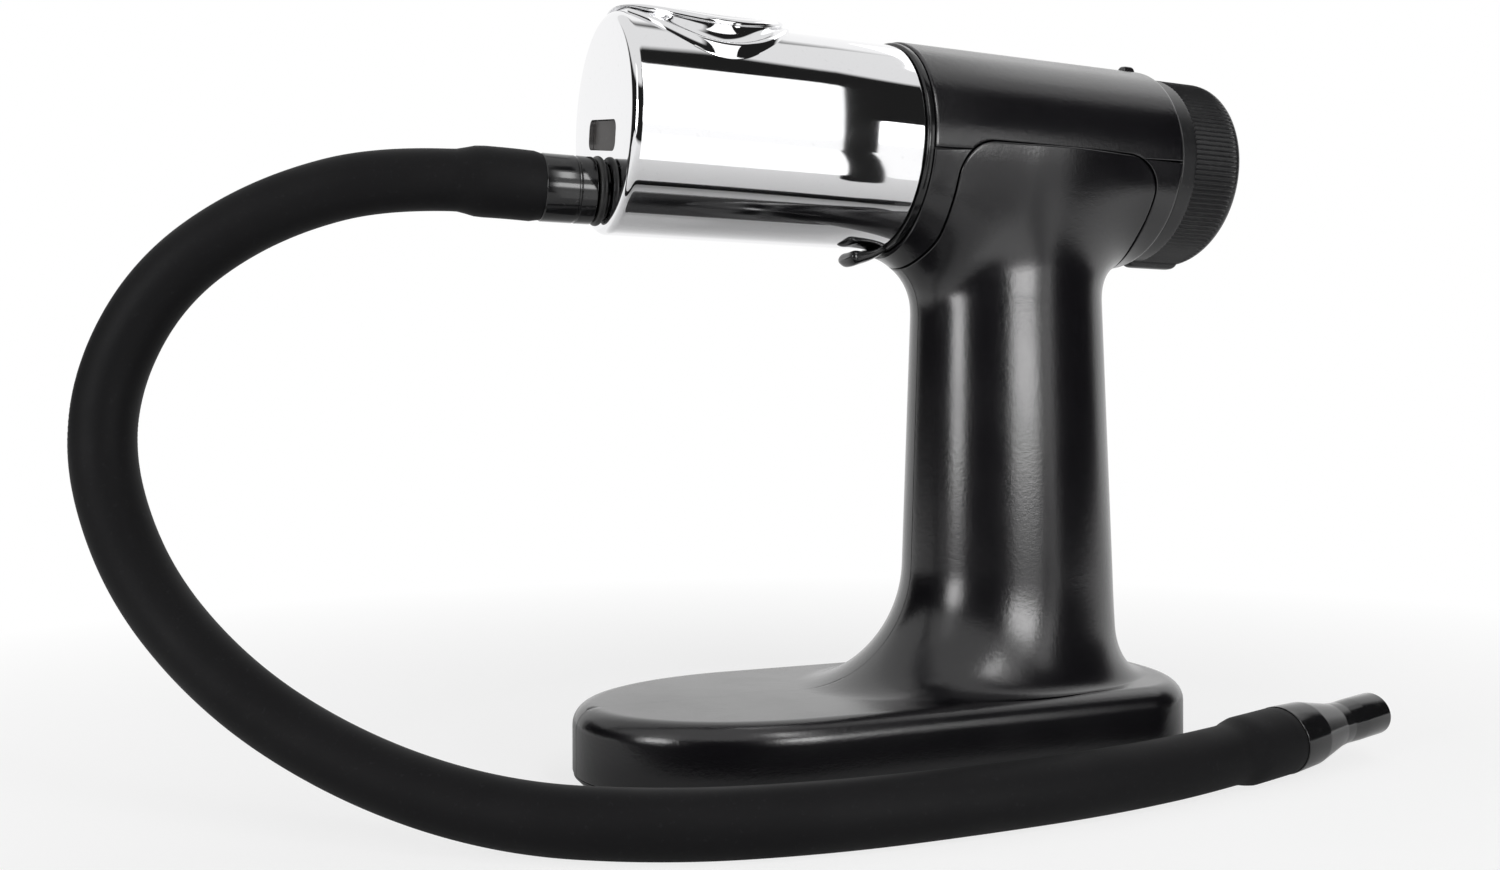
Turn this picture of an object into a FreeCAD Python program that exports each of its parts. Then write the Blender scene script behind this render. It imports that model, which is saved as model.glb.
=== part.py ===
import FreeCAD, Part
import math
import os
import Sketcher

# A handheld smoke infuser that stands on its own foot. The frame has +Z up, +X towards the speed dial,
# and its origin on the table under the middle of the object. Lengths are in millimetres.
# "Along" sizes of the gun are counted from the barrel's front face towards the dial.

doc = FreeCAD.newDocument("smoke_infuser")
sheet = doc.addObject("Spreadsheet::Sheet", "dims")

SIZES = {
    # the gun line
    "axis_height": 157.0, "muzzle_x": -82.3,
    # barrel
    "barrel_radius": 26.0, "barrel_length": 73.1, "barrel_wall": 1.8, "front_wall": 2.0, "nose_round": 2.2,
    "spigot_radius": 22.9, "spigot_wall": 2.0, "spigot_end": 82.0, "shoulder": 2.5,
    "seal_along": 78.0, "seal_half": 0.65, "groove_half": 1.0, "groove_depth": 1.2,
    # collar and bowl, with heights above the gun line; the rim follows a lying cylinder, the saddle
    "bowl_along": 23.5, "collar_bore": 17.3, "collar_foot": 23.8, "collar_neck": 19.4, "lip_radius": 21.6,
    "lip_height": 2.2, "saddle_radius": 41.9, "rim_height": 27.3, "rebate_radius": 18.9, "rebate_depth": 1.5,
    "flange_radius": 18.6, "flange_height": 1.2, "bowl_radius": 16.9, "bowl_wall": 1.5, "bowl_floor": 5.0,
    "floor_wall": 1.6, "floor_hole": 8.0, "screen_gap": 0.3, "screen_wall": 0.8, "screen_hole": 1.0,
    # slot and hose port in the barrel's face
    "slot_width": 23.0, "slot_height": 7.2, "slot_drop": 2.6, "slot_round": 2.2, "slot_recess": 0.8,
    "insert_depth": 2.0, "port_drop": 16.0, "port_radius": 7.0,
    # hose adapter
    "barb_tip": -33.0, "barb_chamfer": 0.5, "barb_lead": 1.5, "adapter_front": -15.05, "adapter_collar": 7.9,
    "adapter_bore": 4.0, "ring_groove": 6.2, "groove_width": 2.6, "o_ring_along": -3.1,
    "o_ring_radius": 7.25, "o_ring_half": 0.95, "adapter_inside": 12.0,
    # fan shroud, with the duct that leads to the port
    "shroud_along": 57.0, "shroud_wall": 2.0, "eye_rise": 6.0, "eye_radius": 8.0, "duct_front": 12.4,
    "duct_radius": 6.8, "duct_bore": 5.3,
    # fan and motor
    "impeller_radius": 17.0, "impeller_front": 62.0, "impeller_back": 70.0, "impeller_wall": 1.2,
    "hub_radius": 4.0, "blade_wall": 1.0, "shaft_radius": 1.0, "shaft_length": 30.0, "mount_front": 84.0,
    "mount_back": 86.4, "motor_radius": 12.0, "motor_back": 113.0, "motor_boss": 3.6, "motor_tail": 1.6,
    "motor_screw_spread": 8.0, "motor_screw_head": 2.2, "screw_stem": 1.2, "screw_hole": 1.3,
    # housing
    "ring_front": 73.4, "housing_front": 75.4, "housing_back": 150.2, "housing_radius": 27.0,
    "housing_wall": 2.2, "housing_round": 1.2, "ring_bore": 23.4, "parting_drop": 2.0, "seam": 0.25,
    # dial and potentiometer
    "dial_front": 150.8, "dial_back": 171.6, "dial_radius": 25.5, "dial_wall": 2.4, "flute_front": 155.4,
    "flute_back": 168.7, "flute_count": 120, "flute_depth": 0.55, "dial_cap": 2.6, "dial_round": 3.1,
    "dial_hub": 6.5, "hub_depth": 17.0, "stem_stop": 5.0, "rib_front": 152.2, "rib_back": 169.2,
    "rib_half": 2.1, "rib_drop": 26.8, "bulkhead_front": 145.5, "bulkhead_back": 147.5,
    "potentiometer_front": 137.0, "potentiometer_back": 145.4, "potentiometer_radius": 8.2,
    "bushing_radius": 4.25, "bushing_back": 152.0, "nut_radius": 7.0, "nut_height": 2.2,
    "stem_radius": 3.0, "stem_front": 137.4, "stem_length": 28.6,
    # release lever
    "lever_along": 59.0, "lever_drop": 32.0, "lever_half": 7.5, "pivot_along": 83.2, "pivot_drop": 29.0,
    "pin_radius": 1.2, "bracket_front": 77.3, "bracket_back": 88.2, "bracket_low": 31.2,
    "bracket_high": 25.4, "bracket_side": 2.5, "bracket_wall": 0.8, "spring_front": 79.0,
    "spring_back": 87.1, "spring_half": 3.0, "spring_low": 26.8, "spring_high": 26.3,
    # handle: half axes of its oval at the waist and at the ankle, and its flares
    "handle_x": 30.8, "waist_height": 119.0, "waist_half_length": 26.8, "waist_half_width": 21.0,
    "ankle_height": 53.0, "ankle_half_length": 29.3, "ankle_half_width": 23.3, "shell_wall": 2.3,
    "front_flare": 30.0, "rear_flare": 10.0, "side_flare": 7.0, "chin_flare": 8.5,
    # foot
    "foot_front": -89.3, "foot_rear": 75.1, "foot_half_width": 35.7, "foot_nose": 50.0, "foot_heel": 25.0,
    "wall_low": 2.8, "foot_top": 18.9, "foot_round": 5.0, "plate_low": 0.6, "plate_high": 2.7,
    # cells
    "cell_radius": 7.2, "cell_length": 50.3, "cell_spread": 8.0, "cell_height": 9.4, "cell_front": -66.0,
    # hose
    "hose_radius": 7.0, "hose_bore": 5.0, "sleeve_radius": 8.1, "sleeve_length": 17.6, "sleeve_taper": 3.5,
    "barb_radius": 6.0,
    # nozzle, with lengths counted from its collar
    "nozzle_barb": 16.0, "nozzle_bore": 3.6, "nozzle_foot": 8.5, "nozzle_collar": 8.7, "collar_length": 6.5,
    "cone_start": 9.0, "cone_start_radius": 8.0, "cone_end": 13.0, "cone_end_radius": 6.0, "tip_start": 16.0,
    "tip_radius": 5.3, "nozzle_length": 28.0,
}


class Size:
    """A length with its number and the sheet formula behind it, so that sums of sizes stay formulas."""

    def __init__(self, number, formula=None):
        self.number = float(number)
        self.formula = formula or "(%r)" % self.number

    def __float__(self):
        return self.number

    def __add__(self, other):
        other = as_size(other)
        return Size(self.number + other.number, "(%s + %s)" % (self.formula, other.formula))

    def __sub__(self, other):
        other = as_size(other)
        return Size(self.number - other.number, "(%s - %s)" % (self.formula, other.formula))

    def __mul__(self, factor):
        return Size(self.number * factor, "(%s * %r)" % (self.formula, float(factor)))

    def __neg__(self):
        return self * -1.0


def as_size(value):
    """A size as it is, and a plain number as a size with no formula behind it."""
    return value if isinstance(value, Size) else Size(value)


class Dims:
    """The sheet's cells by name."""


d = Dims()
for row, (name, number) in enumerate(SIZES.items(), start=1):
    sheet.set("A%d" % row, name)
    sheet.set("B%d" % row, str(number))
    sheet.setAlias("B%d" % row, name)
    setattr(d, name, Size(number, "dims." + name))
doc.recompute()

V = FreeCAD.Vector
X, Y, Z = V(1, 0, 0), V(0, 1, 0), V(0, 0, 1)
ALONG_X = FreeCAD.Rotation(Z, X)
ALONG_Y = FreeCAD.Rotation(Z, Y)
AXIS = d.axis_height
nodes = []


def gun(along):
    """The X of a place on the gun, counted from the barrel's front face."""
    return d.muzzle_x + along


def node(label, thing):
    """Register a finished sub-part under the name of its node."""
    thing.Label = label
    nodes.append(thing)
    return thing


def place(thing, x, y, z, turn=None):
    """Put a thing at formulas of the sheet, turned first if a rotation is given."""
    if turn is not None:
        thing.Placement = FreeCAD.Placement(V(), turn)
    for letter, value in zip("xyz", (x, y, z)):
        thing.setExpression("Placement.Base." + letter, as_size(value).formula)
    return thing


def rod(name, x, y, z, radius, length, turn=None):
    """A round bar that starts at a point and runs along +Z, or along the axis that it is turned to."""
    bar = doc.addObject("Part::Cylinder", name)
    bar.setExpression("Radius", as_size(radius).formula)
    bar.setExpression("Height", as_size(length).formula)
    return place(bar, x, y, z, turn)


def block(name, low, high):
    """A box between two corners."""
    box = doc.addObject("Part::Box", name)
    low = [as_size(value) for value in low]
    for side, start, end in zip(("Length", "Width", "Height"), low, high):
        box.setExpression(side, (as_size(end) - start).formula)
    return place(box, *low)


def join(name, pieces):
    """Several overlapping shapes as one."""
    whole = doc.addObject("Part::MultiFuse", name)
    whole.Shapes = pieces
    return whole


def cut(name, base, tools):
    """A shape with other shapes taken away from it."""
    result = doc.addObject("Part::Cut", name)
    result.Base = base
    result.Tool = tools[0] if len(tools) == 1 else join(name + "_tools", tools)
    return result


def group(name, pieces):
    """Separate solids that share one node."""
    bundle = doc.addObject("Part::Compound", name)
    bundle.Links = pieces
    return bundle


def outline(body, points):
    """A closed outline on the body's XZ plane, with every corner held by formulas of the sheet."""
    sketch = body.newObject("Sketcher::SketchObject", body.Name + "_outline")
    plane = [part for part in body.Origin.OriginFeatures if part.Role == "XZ_Plane"][0]
    sketch.AttachmentSupport = [(plane, "")]
    sketch.MapMode = "FlatFace"
    points = [(as_size(across), as_size(up)) for across, up in points]
    corners = [V(float(across), float(up), 0) for across, up in points]
    count = len(corners)
    for index in range(count):
        sketch.addGeometry(Part.LineSegment(corners[index], corners[(index + 1) % count]), False)
    for index in range(count):
        sketch.addConstraint(Sketcher.Constraint("Coincident", index, 2, (index + 1) % count, 1))
    for index, pair in enumerate(points):
        for kind, line, value in zip(("DistanceX", "DistanceY"), (-2, -1), pair):
            if value.number == 0:
                sketch.addConstraint(Sketcher.Constraint("PointOnObject", index, 1, line))
            else:
                held = Sketcher.Constraint(kind, -1, 1, index, 1, value.number)
                number = sketch.addConstraint(held)
                sketch.setExpression("Constraints[%d]" % number, value.formula)
    return sketch


def turned(name, section, x, y, z, upright=False):
    """A turned piece from a half section of (along, out) pairs. It spins about X, or about Z if upright."""
    body = doc.addObject("PartDesign::Body", name)
    pairs = [(out, along) for along, out in section] if upright else section
    sketch = outline(body, pairs)
    spin = body.newObject("PartDesign::Revolution", name + "_spin")
    spin.Profile = sketch
    spin.ReferenceAxis = (sketch, ["V_Axis" if upright else "H_Axis"])
    spin.Angle = 360
    return place(body, x, y, z)


def slab(name, points, x, z, half_width):
    """A flat outline in the XZ plane, padded across Y by half_width to each side."""
    body = doc.addObject("PartDesign::Body", name)
    sketch = outline(body, points)
    pad = body.newObject("PartDesign::Pad", name + "_pad")
    pad.Profile = sketch
    pad.setExpression("Length", (half_width * 2).formula)
    return place(body, x, half_width, z)


NEAR = 0.01


def rounded(body, radius, at, out):
    """Round the turned edge that lies at one place along the body's axis and one distance out from it."""
    doc.recompute()
    last = body.Tip
    names = []
    for number, edge in enumerate(last.Shape.Edges, start=1):
        curve = edge.Curve
        if not isinstance(curve, Part.Circle):
            continue
        if abs(curve.Radius - out) < NEAR and abs(curve.Center.x - at) < NEAR:
            names.append("Edge%d" % number)
    fillet = body.newObject("PartDesign::Fillet", body.Name + "_round")
    fillet.Base = (last, names)
    fillet.setExpression("Radius", radius.formula)
    return body


def shaped(name, shape):
    """A piece whose shape is worked out here from the sheet's sizes."""
    feature = doc.addObject("Part::Feature", name)
    feature.Shape = shape
    return feature


def bored(radius, low, high, x, y):
    """A plain upright cylinder shape, for bosses and screw holes."""
    return Part.makeCylinder(radius, high - low, V(x, y, low), Z)


# The smoke barrel is a turned cup with a spigot at its open end. A collar for the bowl stands on it, flared
# at its foot, with a lip whose rim dips at the two sides. Its face has a slot and the hose port.
PAST = 2.0
TALL = 40.0
FIT = 0.02
RUNNING_FIT = 0.06
TOUCH = 0.05
LOOSE = 0.15
CLEAR = 0.3
barrel_bore = d.barrel_radius - d.barrel_wall
spigot_bore = d.spigot_radius - d.spigot_wall
groove_bottom = d.spigot_radius - d.groove_depth
groove_front = d.seal_along - d.groove_half
groove_back = d.seal_along + d.groove_half
shoulder_along = d.barrel_length - d.shoulder
bowl_x = gun(d.bowl_along)
barrel_turning = turned("barrel_turning", [
    (0, 0), (0, d.barrel_radius), (d.barrel_length, d.barrel_radius), (d.barrel_length, d.spigot_radius),
    (groove_front, d.spigot_radius), (groove_front, groove_bottom), (groove_back, groove_bottom),
    (groove_back, d.spigot_radius), (d.spigot_end, d.spigot_radius), (d.spigot_end, spigot_bore),
    (shoulder_along, spigot_bore), (shoulder_along, barrel_bore), (d.front_wall, barrel_bore),
    (d.front_wall, 0)], d.muzzle_x, 0, AXIS)
rounded(barrel_turning, d.nose_round, 0.0, float(d.barrel_radius))


def saddle(name, lower):
    """The lying cylinder that shapes the rim, drawn in by a depth below the rim."""
    return rod(name, d.muzzle_x - TALL, 0, AXIS + d.rim_height - d.saddle_radius, d.saddle_radius - lower,
               d.barrel_length + TALL, ALONG_X)


def under_rim(name, form):
    """The part of a form that lies under the rim's saddle."""
    common = doc.addObject("Part::Common", name)
    common.Base = form
    common.Tool = saddle(name + "_saddle", 0)
    return common


def rim_band(name, radius, height):
    """A round band of one height right under the rim's saddle."""
    post = rod(name + "_post", bowl_x, 0, AXIS + d.bowl_floor, radius, TALL)
    return cut(name, under_rim(name + "_whole", post), [saddle(name + "_floor", height)])


COLLAR_FLARE = ((8.0, 1.0), (10.5, 1.0), (13.0, 0.6), (16.0, 0.22), (19.5, 0.0), (30.0, 0.0))
flare_width = d.collar_foot - d.collar_neck
collar_section = [(up, d.collar_neck + flare_width * share) for up, share in COLLAR_FLARE]
collar_section += [(COLLAR_FLARE[-1][0], d.collar_bore), (COLLAR_FLARE[0][0], d.collar_bore)]
collar_form = turned("collar_form", collar_section, bowl_x, 0, AXIS, upright=True)
collar_neck = under_rim("collar_neck", collar_form)
collar_lip = rim_band("collar_lip", d.lip_radius, d.lip_height)
barrel_whole = join("barrel_whole", [barrel_turning, collar_neck, collar_lip])
bowl_hole = rod("bowl_hole", bowl_x, 0, AXIS + d.bowl_floor - 1, d.collar_bore, TALL)
rebate_post = rod("rebate_post", bowl_x, 0, AXIS + d.bowl_floor, d.rebate_radius, TALL)
rebate = cut("rebate", rebate_post, [saddle("rebate_floor", d.rebate_depth)])
port_hole = rod("port_hole", d.muzzle_x - PAST, 0, AXIS - d.port_drop, d.port_radius,
                d.front_wall + 2 * PAST, ALONG_X)


SLOT_TILT = 12.0


def slot_block(name, front, back, margin):
    """The slot's rounded block between two depths, smaller than the slot by a margin all round."""
    box = doc.addObject("Part::Box", name + "_box")
    wide = d.slot_width - 2 * margin
    tall = d.slot_height - 2 * margin
    box.setExpression("Length", (back - front).formula)
    box.setExpression("Width", wide.formula)
    box.setExpression("Height", tall.formula)
    lean = math.radians(SLOT_TILT)
    corner_y = wide * (-0.5 * math.cos(lean)) + tall * (0.5 * math.sin(lean))
    corner_z = wide * (-0.5 * math.sin(lean)) + tall * (-0.5 * math.cos(lean))
    place(box, gun(front), corner_y, AXIS - d.slot_drop + corner_z, FreeCAD.Rotation(X, SLOT_TILT))
    doc.recompute()
    edges = [number for number, edge in enumerate(box.Shape.Edges, start=1)
             if abs(edge.tangentAt(edge.FirstParameter).x) > 0.9]
    soft = doc.addObject("Part::Fillet", name)
    soft.Base = box
    corner = float(d.slot_round) - margin
    soft.Edges = [(number, corner, corner) for number in edges]
    return soft


slot_hole = slot_block("slot_hole", as_size(-PAST), d.front_wall + PAST, 0.0)
node("smoke_barrel", cut("smoke_barrel", barrel_whole, [bowl_hole, rebate, port_hole, slot_hole]))
node("slot_insert", slot_block("slot_insert", d.slot_recess, d.slot_recess + d.insert_depth, LOOSE))
seal = doc.addObject("Part::Torus", "barrel_seal")
seal.setExpression("Radius1", (groove_bottom + d.seal_half + LOOSE).formula)
seal.setExpression("Radius2", d.seal_half.formula)
node("barrel_seal", place(seal, gun(d.seal_along), 0, AXIS, ALONG_X))

# The burn bowl drops into the collar and hangs by a flange in the rim's rebate. Its floor is open in the
# middle and carries a perforated screen.
bowl_inner = d.bowl_radius - d.bowl_wall
floor_top = d.bowl_floor + d.floor_wall
cup_form = rod("cup_form", bowl_x, 0, AXIS + d.bowl_floor, d.bowl_radius, TALL)
bowl_whole = join("bowl_whole", [
    under_rim("cup_whole", cup_form), rim_band("bowl_flange", d.flange_radius, d.flange_height)])
node("burn_bowl", cut("burn_bowl", bowl_whole, [
    rod("cup_inside", bowl_x, 0, AXIS + floor_top, bowl_inner, TALL),
    rod("floor_hole", bowl_x, 0, AXIS, d.floor_hole, TALL)]))
SCREEN_PITCH = 4.0
SCREEN_RINGS = 3
SCREEN_GAP = 0.4
screen_low = AXIS + floor_top + d.screen_gap
screen_disc = rod("screen_disc", bowl_x, 0, screen_low, bowl_inner - SCREEN_GAP, d.screen_wall)
screen_holes = [rod("screen_hole", bowl_x, 0, screen_low - PAST, d.screen_hole, 2 * PAST + 1)]
for ring in range(1, SCREEN_RINGS + 1):
    ring_radius = SCREEN_PITCH * ring
    ring_count = 6 * ring
    for step in range(ring_count):
        angle = 2 * math.pi * step / ring_count
        screen_holes.append(rod(
            "screen_hole", bowl_x + ring_radius * math.cos(angle), ring_radius * math.sin(angle),
            screen_low - PAST, d.screen_hole, 2 * PAST + 1))
node("bowl_screen", cut("bowl_screen", screen_disc, screen_holes))

# The hose adapter plugs into the port: a barb under the hose, a gloss collar with an O-ring, and a spigot.
collar_start = d.adapter_front - d.barb_tip
ring_start = d.o_ring_along - d.barb_tip - d.groove_width * 0.5
collar_end = -d.barb_tip - LOOSE
plug_end = d.adapter_inside - d.barb_tip
plug_radius = d.port_radius - LOOSE
node("hose_adapter", turned("hose_adapter", [
    (0, d.adapter_bore), (0, d.barb_radius - d.barb_chamfer), (d.barb_lead, d.barb_radius),
    (collar_start, d.barb_radius), (collar_start, d.adapter_collar), (ring_start, d.adapter_collar),
    (ring_start, d.ring_groove), (ring_start + d.groove_width, d.ring_groove),
    (ring_start + d.groove_width, d.adapter_collar), (collar_end, d.adapter_collar),
    (collar_end, plug_radius), (plug_end, plug_radius), (plug_end, d.adapter_bore)],
    gun(d.barb_tip), 0, AXIS - d.port_drop))
adapter_ring = doc.addObject("Part::Torus", "adapter_o_ring")
adapter_ring.setExpression("Radius1", d.o_ring_radius.formula)
adapter_ring.setExpression("Radius2", d.o_ring_half.formula)
node("adapter_o_ring", place(adapter_ring, gun(d.o_ring_along), 0, AXIS - d.port_drop, ALONG_X))

# The fan shroud closes the barrel's chamber in front of the impeller; its duct leads the smoke to the port.
duct_length = d.shroud_along - d.duct_front + d.shroud_wall * 0.5
shroud_disc = rod("shroud_disc", gun(d.shroud_along), 0, AXIS, barrel_bore - LOOSE, d.shroud_wall, ALONG_X)
shroud_eye = rod("shroud_eye", gun(d.shroud_along) - PAST, 0, AXIS + d.eye_rise, d.eye_radius,
                 d.shroud_wall + 2 * PAST, ALONG_X)
duct_tube = rod("duct_tube", gun(d.duct_front), 0, AXIS - d.port_drop, d.duct_radius, duct_length, ALONG_X)
duct_bore = rod("duct_bore", gun(d.duct_front) - PAST, 0, AXIS - d.port_drop, d.duct_bore,
                duct_length + 3 * PAST, ALONG_X)
shroud_whole = join("shroud_whole", [shroud_disc, duct_tube])
node("fan_shroud", cut("fan_shroud", shroud_whole, [shroud_eye, duct_bore]))

# The impeller is a back plate with a hub and straight blades, pressed on the motor's shaft.
BLADES = 9
impeller_depth = d.impeller_back - d.impeller_front
impeller_parts = [
    rod("impeller_plate", gun(d.impeller_back) - d.impeller_wall, 0, AXIS, d.impeller_radius,
        d.impeller_wall, ALONG_X),
    rod("impeller_hub", gun(d.impeller_front), 0, AXIS, d.hub_radius, impeller_depth, ALONG_X)]
for step in range(BLADES):
    blade = doc.addObject("Part::Box", "impeller_blade")
    blade.setExpression("Length", impeller_depth.formula)
    blade.setExpression("Width", d.blade_wall.formula)
    blade.setExpression("Height", (d.impeller_radius - LOOSE).formula)
    turn = FreeCAD.Rotation(X, 360.0 * step / BLADES)
    corner = turn.multVec(V(0, -float(d.blade_wall) / 2, 0))
    impeller_parts.append(place(blade, gun(d.impeller_front), corner.y, AXIS + corner.z, turn))
impeller_bore = rod("impeller_bore", gun(d.impeller_front) - PAST, 0, AXIS, d.shaft_radius + FIT,
                    impeller_depth + 2 * PAST, ALONG_X)
node("impeller", cut("impeller", join("impeller_whole", impeller_parts), [impeller_bore]))
node("motor_shaft", rod("motor_shaft", gun(d.impeller_front) + CLEAR, 0, AXIS, d.shaft_radius,
                        d.shaft_length, ALONG_X))

# The motor hangs behind a round bulkhead in the housing, held by two screws through it.
HEAD_HEIGHT = 1.4
MOTOR_SCREW_LENGTH = 6.2
SHAFT_HOLE_DEPTH = 9.0
BOSS_HEIGHT = 4.0
inside_radius = d.housing_radius - d.housing_wall - CLEAR
mount_wall = d.mount_back - d.mount_front
mount_disc = rod("mount_disc", gun(d.mount_front), 0, AXIS, inside_radius, mount_wall, ALONG_X)
mount_holes = [rod("mount_eye", gun(d.mount_front) - PAST, 0, AXIS, d.motor_boss + LOOSE,
                   mount_wall + 2 * PAST, ALONG_X)]
motor_holes = [rod("motor_eye", gun(d.mount_front), 0, AXIS, d.shaft_radius + RUNNING_FIT,
                   SHAFT_HOLE_DEPTH, ALONG_X)]
motor_screws = []
for side in (-d.motor_screw_spread, d.motor_screw_spread):
    mount_holes.append(rod("mount_screw_hole", gun(d.mount_front) - PAST, side, AXIS, d.screw_hole,
                           mount_wall + 2 * PAST, ALONG_X))
    motor_holes.append(rod("motor_screw_hole", gun(d.mount_back), side, AXIS, d.screw_hole,
                           MOTOR_SCREW_LENGTH, ALONG_X))
    motor_screws.append(join("motor_screw", [
        rod("motor_screw_head", gun(d.mount_front) - HEAD_HEIGHT - TOUCH, side, AXIS, d.motor_screw_head,
            HEAD_HEIGHT, ALONG_X),
        rod("motor_screw_stem", gun(d.mount_front) - LOOSE, side, AXIS, d.screw_stem, MOTOR_SCREW_LENGTH,
            ALONG_X)]))
node("motor_mount", cut("motor_mount", mount_disc, mount_holes))
node("motor_screws", group("motor_screws", motor_screws))
motor_whole = join("motor_whole", [
    rod("motor_can", gun(d.mount_back) + TOUCH, 0, AXIS, d.motor_radius, d.motor_back - d.mount_back,
        ALONG_X),
    rod("motor_boss", gun(d.mount_front) + CLEAR, 0, AXIS, d.motor_boss, BOSS_HEIGHT, ALONG_X),
    rod("motor_tail", gun(d.motor_back), 0, AXIS, d.motor_boss, d.motor_tail, ALONG_X)])
node("fan_motor", cut("fan_motor", motor_whole, motor_holes))

# The front ring takes the barrel's spigot and closes the housing's front edge.
RING_CHAMFER = 0.5
ring_radius = d.housing_radius - 0.4
ring_back = d.housing_front - LOOSE
neck_back = d.spigot_end + RING_CHAMFER
node("front_ring", turned("front_ring", [
    (d.ring_front, d.ring_bore), (d.ring_front, ring_radius - RING_CHAMFER),
    (d.ring_front + RING_CHAMFER, ring_radius), (ring_back, ring_radius), (ring_back, inside_radius),
    (neck_back, inside_radius), (neck_back, d.ring_bore)], d.muzzle_x, 0, AXIS))

# The release lever is a tongue under the barrel. It turns on a pin in a bracket, and a leaf spring lifts it.
LEVER_OUTLINE = [(0.8, 1.2), (1.2, 3.1), (7, 4.3), (16, 4.2), (26.6, 4.4), (27.4, 2.8), (25.4, 0.8),
                 (22.6, 0.6), (19, 2.0), (8, 1.9), (2.4, 0.6)]
lever_tongue = slab("lever_tongue", LEVER_OUTLINE, gun(d.lever_along), AXIS - d.lever_drop, d.lever_half)
bracket_half = d.lever_half + d.bracket_side
pin_length = bracket_half * 2 - 2 * CLEAR
lever_hole = rod("lever_hole", gun(d.pivot_along), -pin_length * 0.5, AXIS - d.pivot_drop,
                 d.pin_radius + RUNNING_FIT, pin_length, ALONG_Y)
node("release_lever", cut("release_lever", lever_tongue, [lever_hole]))
node("lever_pin", rod("lever_pin", gun(d.pivot_along), -pin_length * 0.5, AXIS - d.pivot_drop, d.pin_radius,
                      pin_length, ALONG_Y))
slot_half = d.lever_half + CLEAR
bracket_block = block("bracket_block", (gun(d.bracket_front), -bracket_half, AXIS - d.bracket_low),
                      (gun(d.bracket_back), bracket_half, AXIS - d.bracket_high))
bracket_slot = block("bracket_slot", (gun(d.bracket_front) - PAST, -slot_half, AXIS - d.bracket_low - PAST),
                     (gun(d.bracket_back) - 1, slot_half, AXIS - d.bracket_high - d.bracket_wall))
bracket_hole = rod("bracket_hole", gun(d.pivot_along), -bracket_half - PAST, AXIS - d.pivot_drop,
                   d.pin_radius + FIT, bracket_half * 2 + 2 * PAST, ALONG_Y)
node("latch_bracket", cut("latch_bracket", bracket_block, [bracket_slot, bracket_hole]))
node("lever_spring", block("lever_spring", (gun(d.spring_front), -d.spring_half, AXIS - d.spring_low),
                           (gun(d.spring_back), d.spring_half, AXIS - d.spring_high)))

# A rear bulkhead holds the potentiometer by its nut; the dial sits on the potentiometer's stem.
stem_bore = d.stem_radius + RUNNING_FIT
eye_radius = d.bushing_radius + LOOSE
node("rear_bulkhead", turned("rear_bulkhead", [
    (d.bulkhead_front, eye_radius), (d.bulkhead_front, inside_radius), (d.bulkhead_back, inside_radius),
    (d.bulkhead_back, eye_radius)], d.muzzle_x, 0, AXIS))
node("speed_potentiometer", turned("speed_potentiometer", [
    (d.potentiometer_front, stem_bore), (d.potentiometer_front, d.potentiometer_radius),
    (d.potentiometer_back, d.potentiometer_radius), (d.potentiometer_back, d.bushing_radius),
    (d.bushing_back, d.bushing_radius), (d.bushing_back, stem_bore)], d.muzzle_x, 0, AXIS))
nut_form = doc.addObject("Part::Prism", "nut_form")
nut_form.Polygon = 6
nut_form.setExpression("Circumradius", d.nut_radius.formula)
nut_form.setExpression("Height", d.nut_height.formula)
place(nut_form, gun(d.bulkhead_back) + TOUCH, 0, AXIS, ALONG_X)
nut_hole = rod("nut_hole", gun(d.bulkhead_back) - PAST, 0, AXIS, d.bushing_radius + TOUCH,
               d.nut_height + 2 * PAST, ALONG_X)
node("potentiometer_nut", cut("potentiometer_nut", nut_form, [nut_hole]))
node("dial_shaft", rod("dial_shaft", gun(d.stem_front), 0, AXIS, d.stem_radius, d.stem_length, ALONG_X))

# The speed dial is a cup with a smooth collar, fine flutes along the axis and a raised rib underneath.
flute_root = d.dial_radius - d.flute_depth
dial_bore = d.dial_radius - d.dial_wall
cap_inside = d.dial_back - d.dial_cap
socket_end = d.dial_back - d.stem_stop
hub_front = d.dial_back - d.hub_depth
socket_radius = d.stem_radius + FIT
dial_cup = turned("dial_cup", [
    (d.dial_front, dial_bore), (d.dial_front, d.dial_radius), (d.flute_front, d.dial_radius),
    (d.flute_front, flute_root), (d.dial_back, flute_root), (d.dial_back, 0), (socket_end, 0),
    (socket_end, socket_radius), (hub_front, socket_radius), (hub_front, d.dial_hub),
    (cap_inside, d.dial_hub), (cap_inside, dial_bore)], d.muzzle_x, 0, AXIS)
rounded(dial_cup, d.dial_round, float(d.dial_back), float(flute_root))


def fluted_band(name):
    """A ring of teeth along the axis: crest and root corners in turn round a circle, carried along X."""
    count = int(float(d.flute_count))
    corners = []
    for step in range(2 * count):
        radius = float(d.dial_radius) if step % 2 == 0 else float(flute_root) - TOUCH
        angle = math.pi * step / count
        corners.append(V(0, radius * math.cos(angle), radius * math.sin(angle)))
    star = Part.Face(Part.makePolygon(corners + corners[:1]))
    length = float(d.flute_back - d.flute_front)
    band = star.extrude(X * length).cut(Part.makeCylinder(float(flute_root) - 1, length, V(), X))
    return place(shaped(name, band), gun(d.flute_front), 0, AXIS)


dial_rib = block("dial_rib", (gun(d.rib_front), -d.rib_half, AXIS - d.rib_drop),
                 (gun(d.rib_back), d.rib_half, AXIS - flute_root + d.flute_depth))
node("speed_dial", join("speed_dial", [dial_cup, fluted_band("fluted_band"), dial_rib]))


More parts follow.
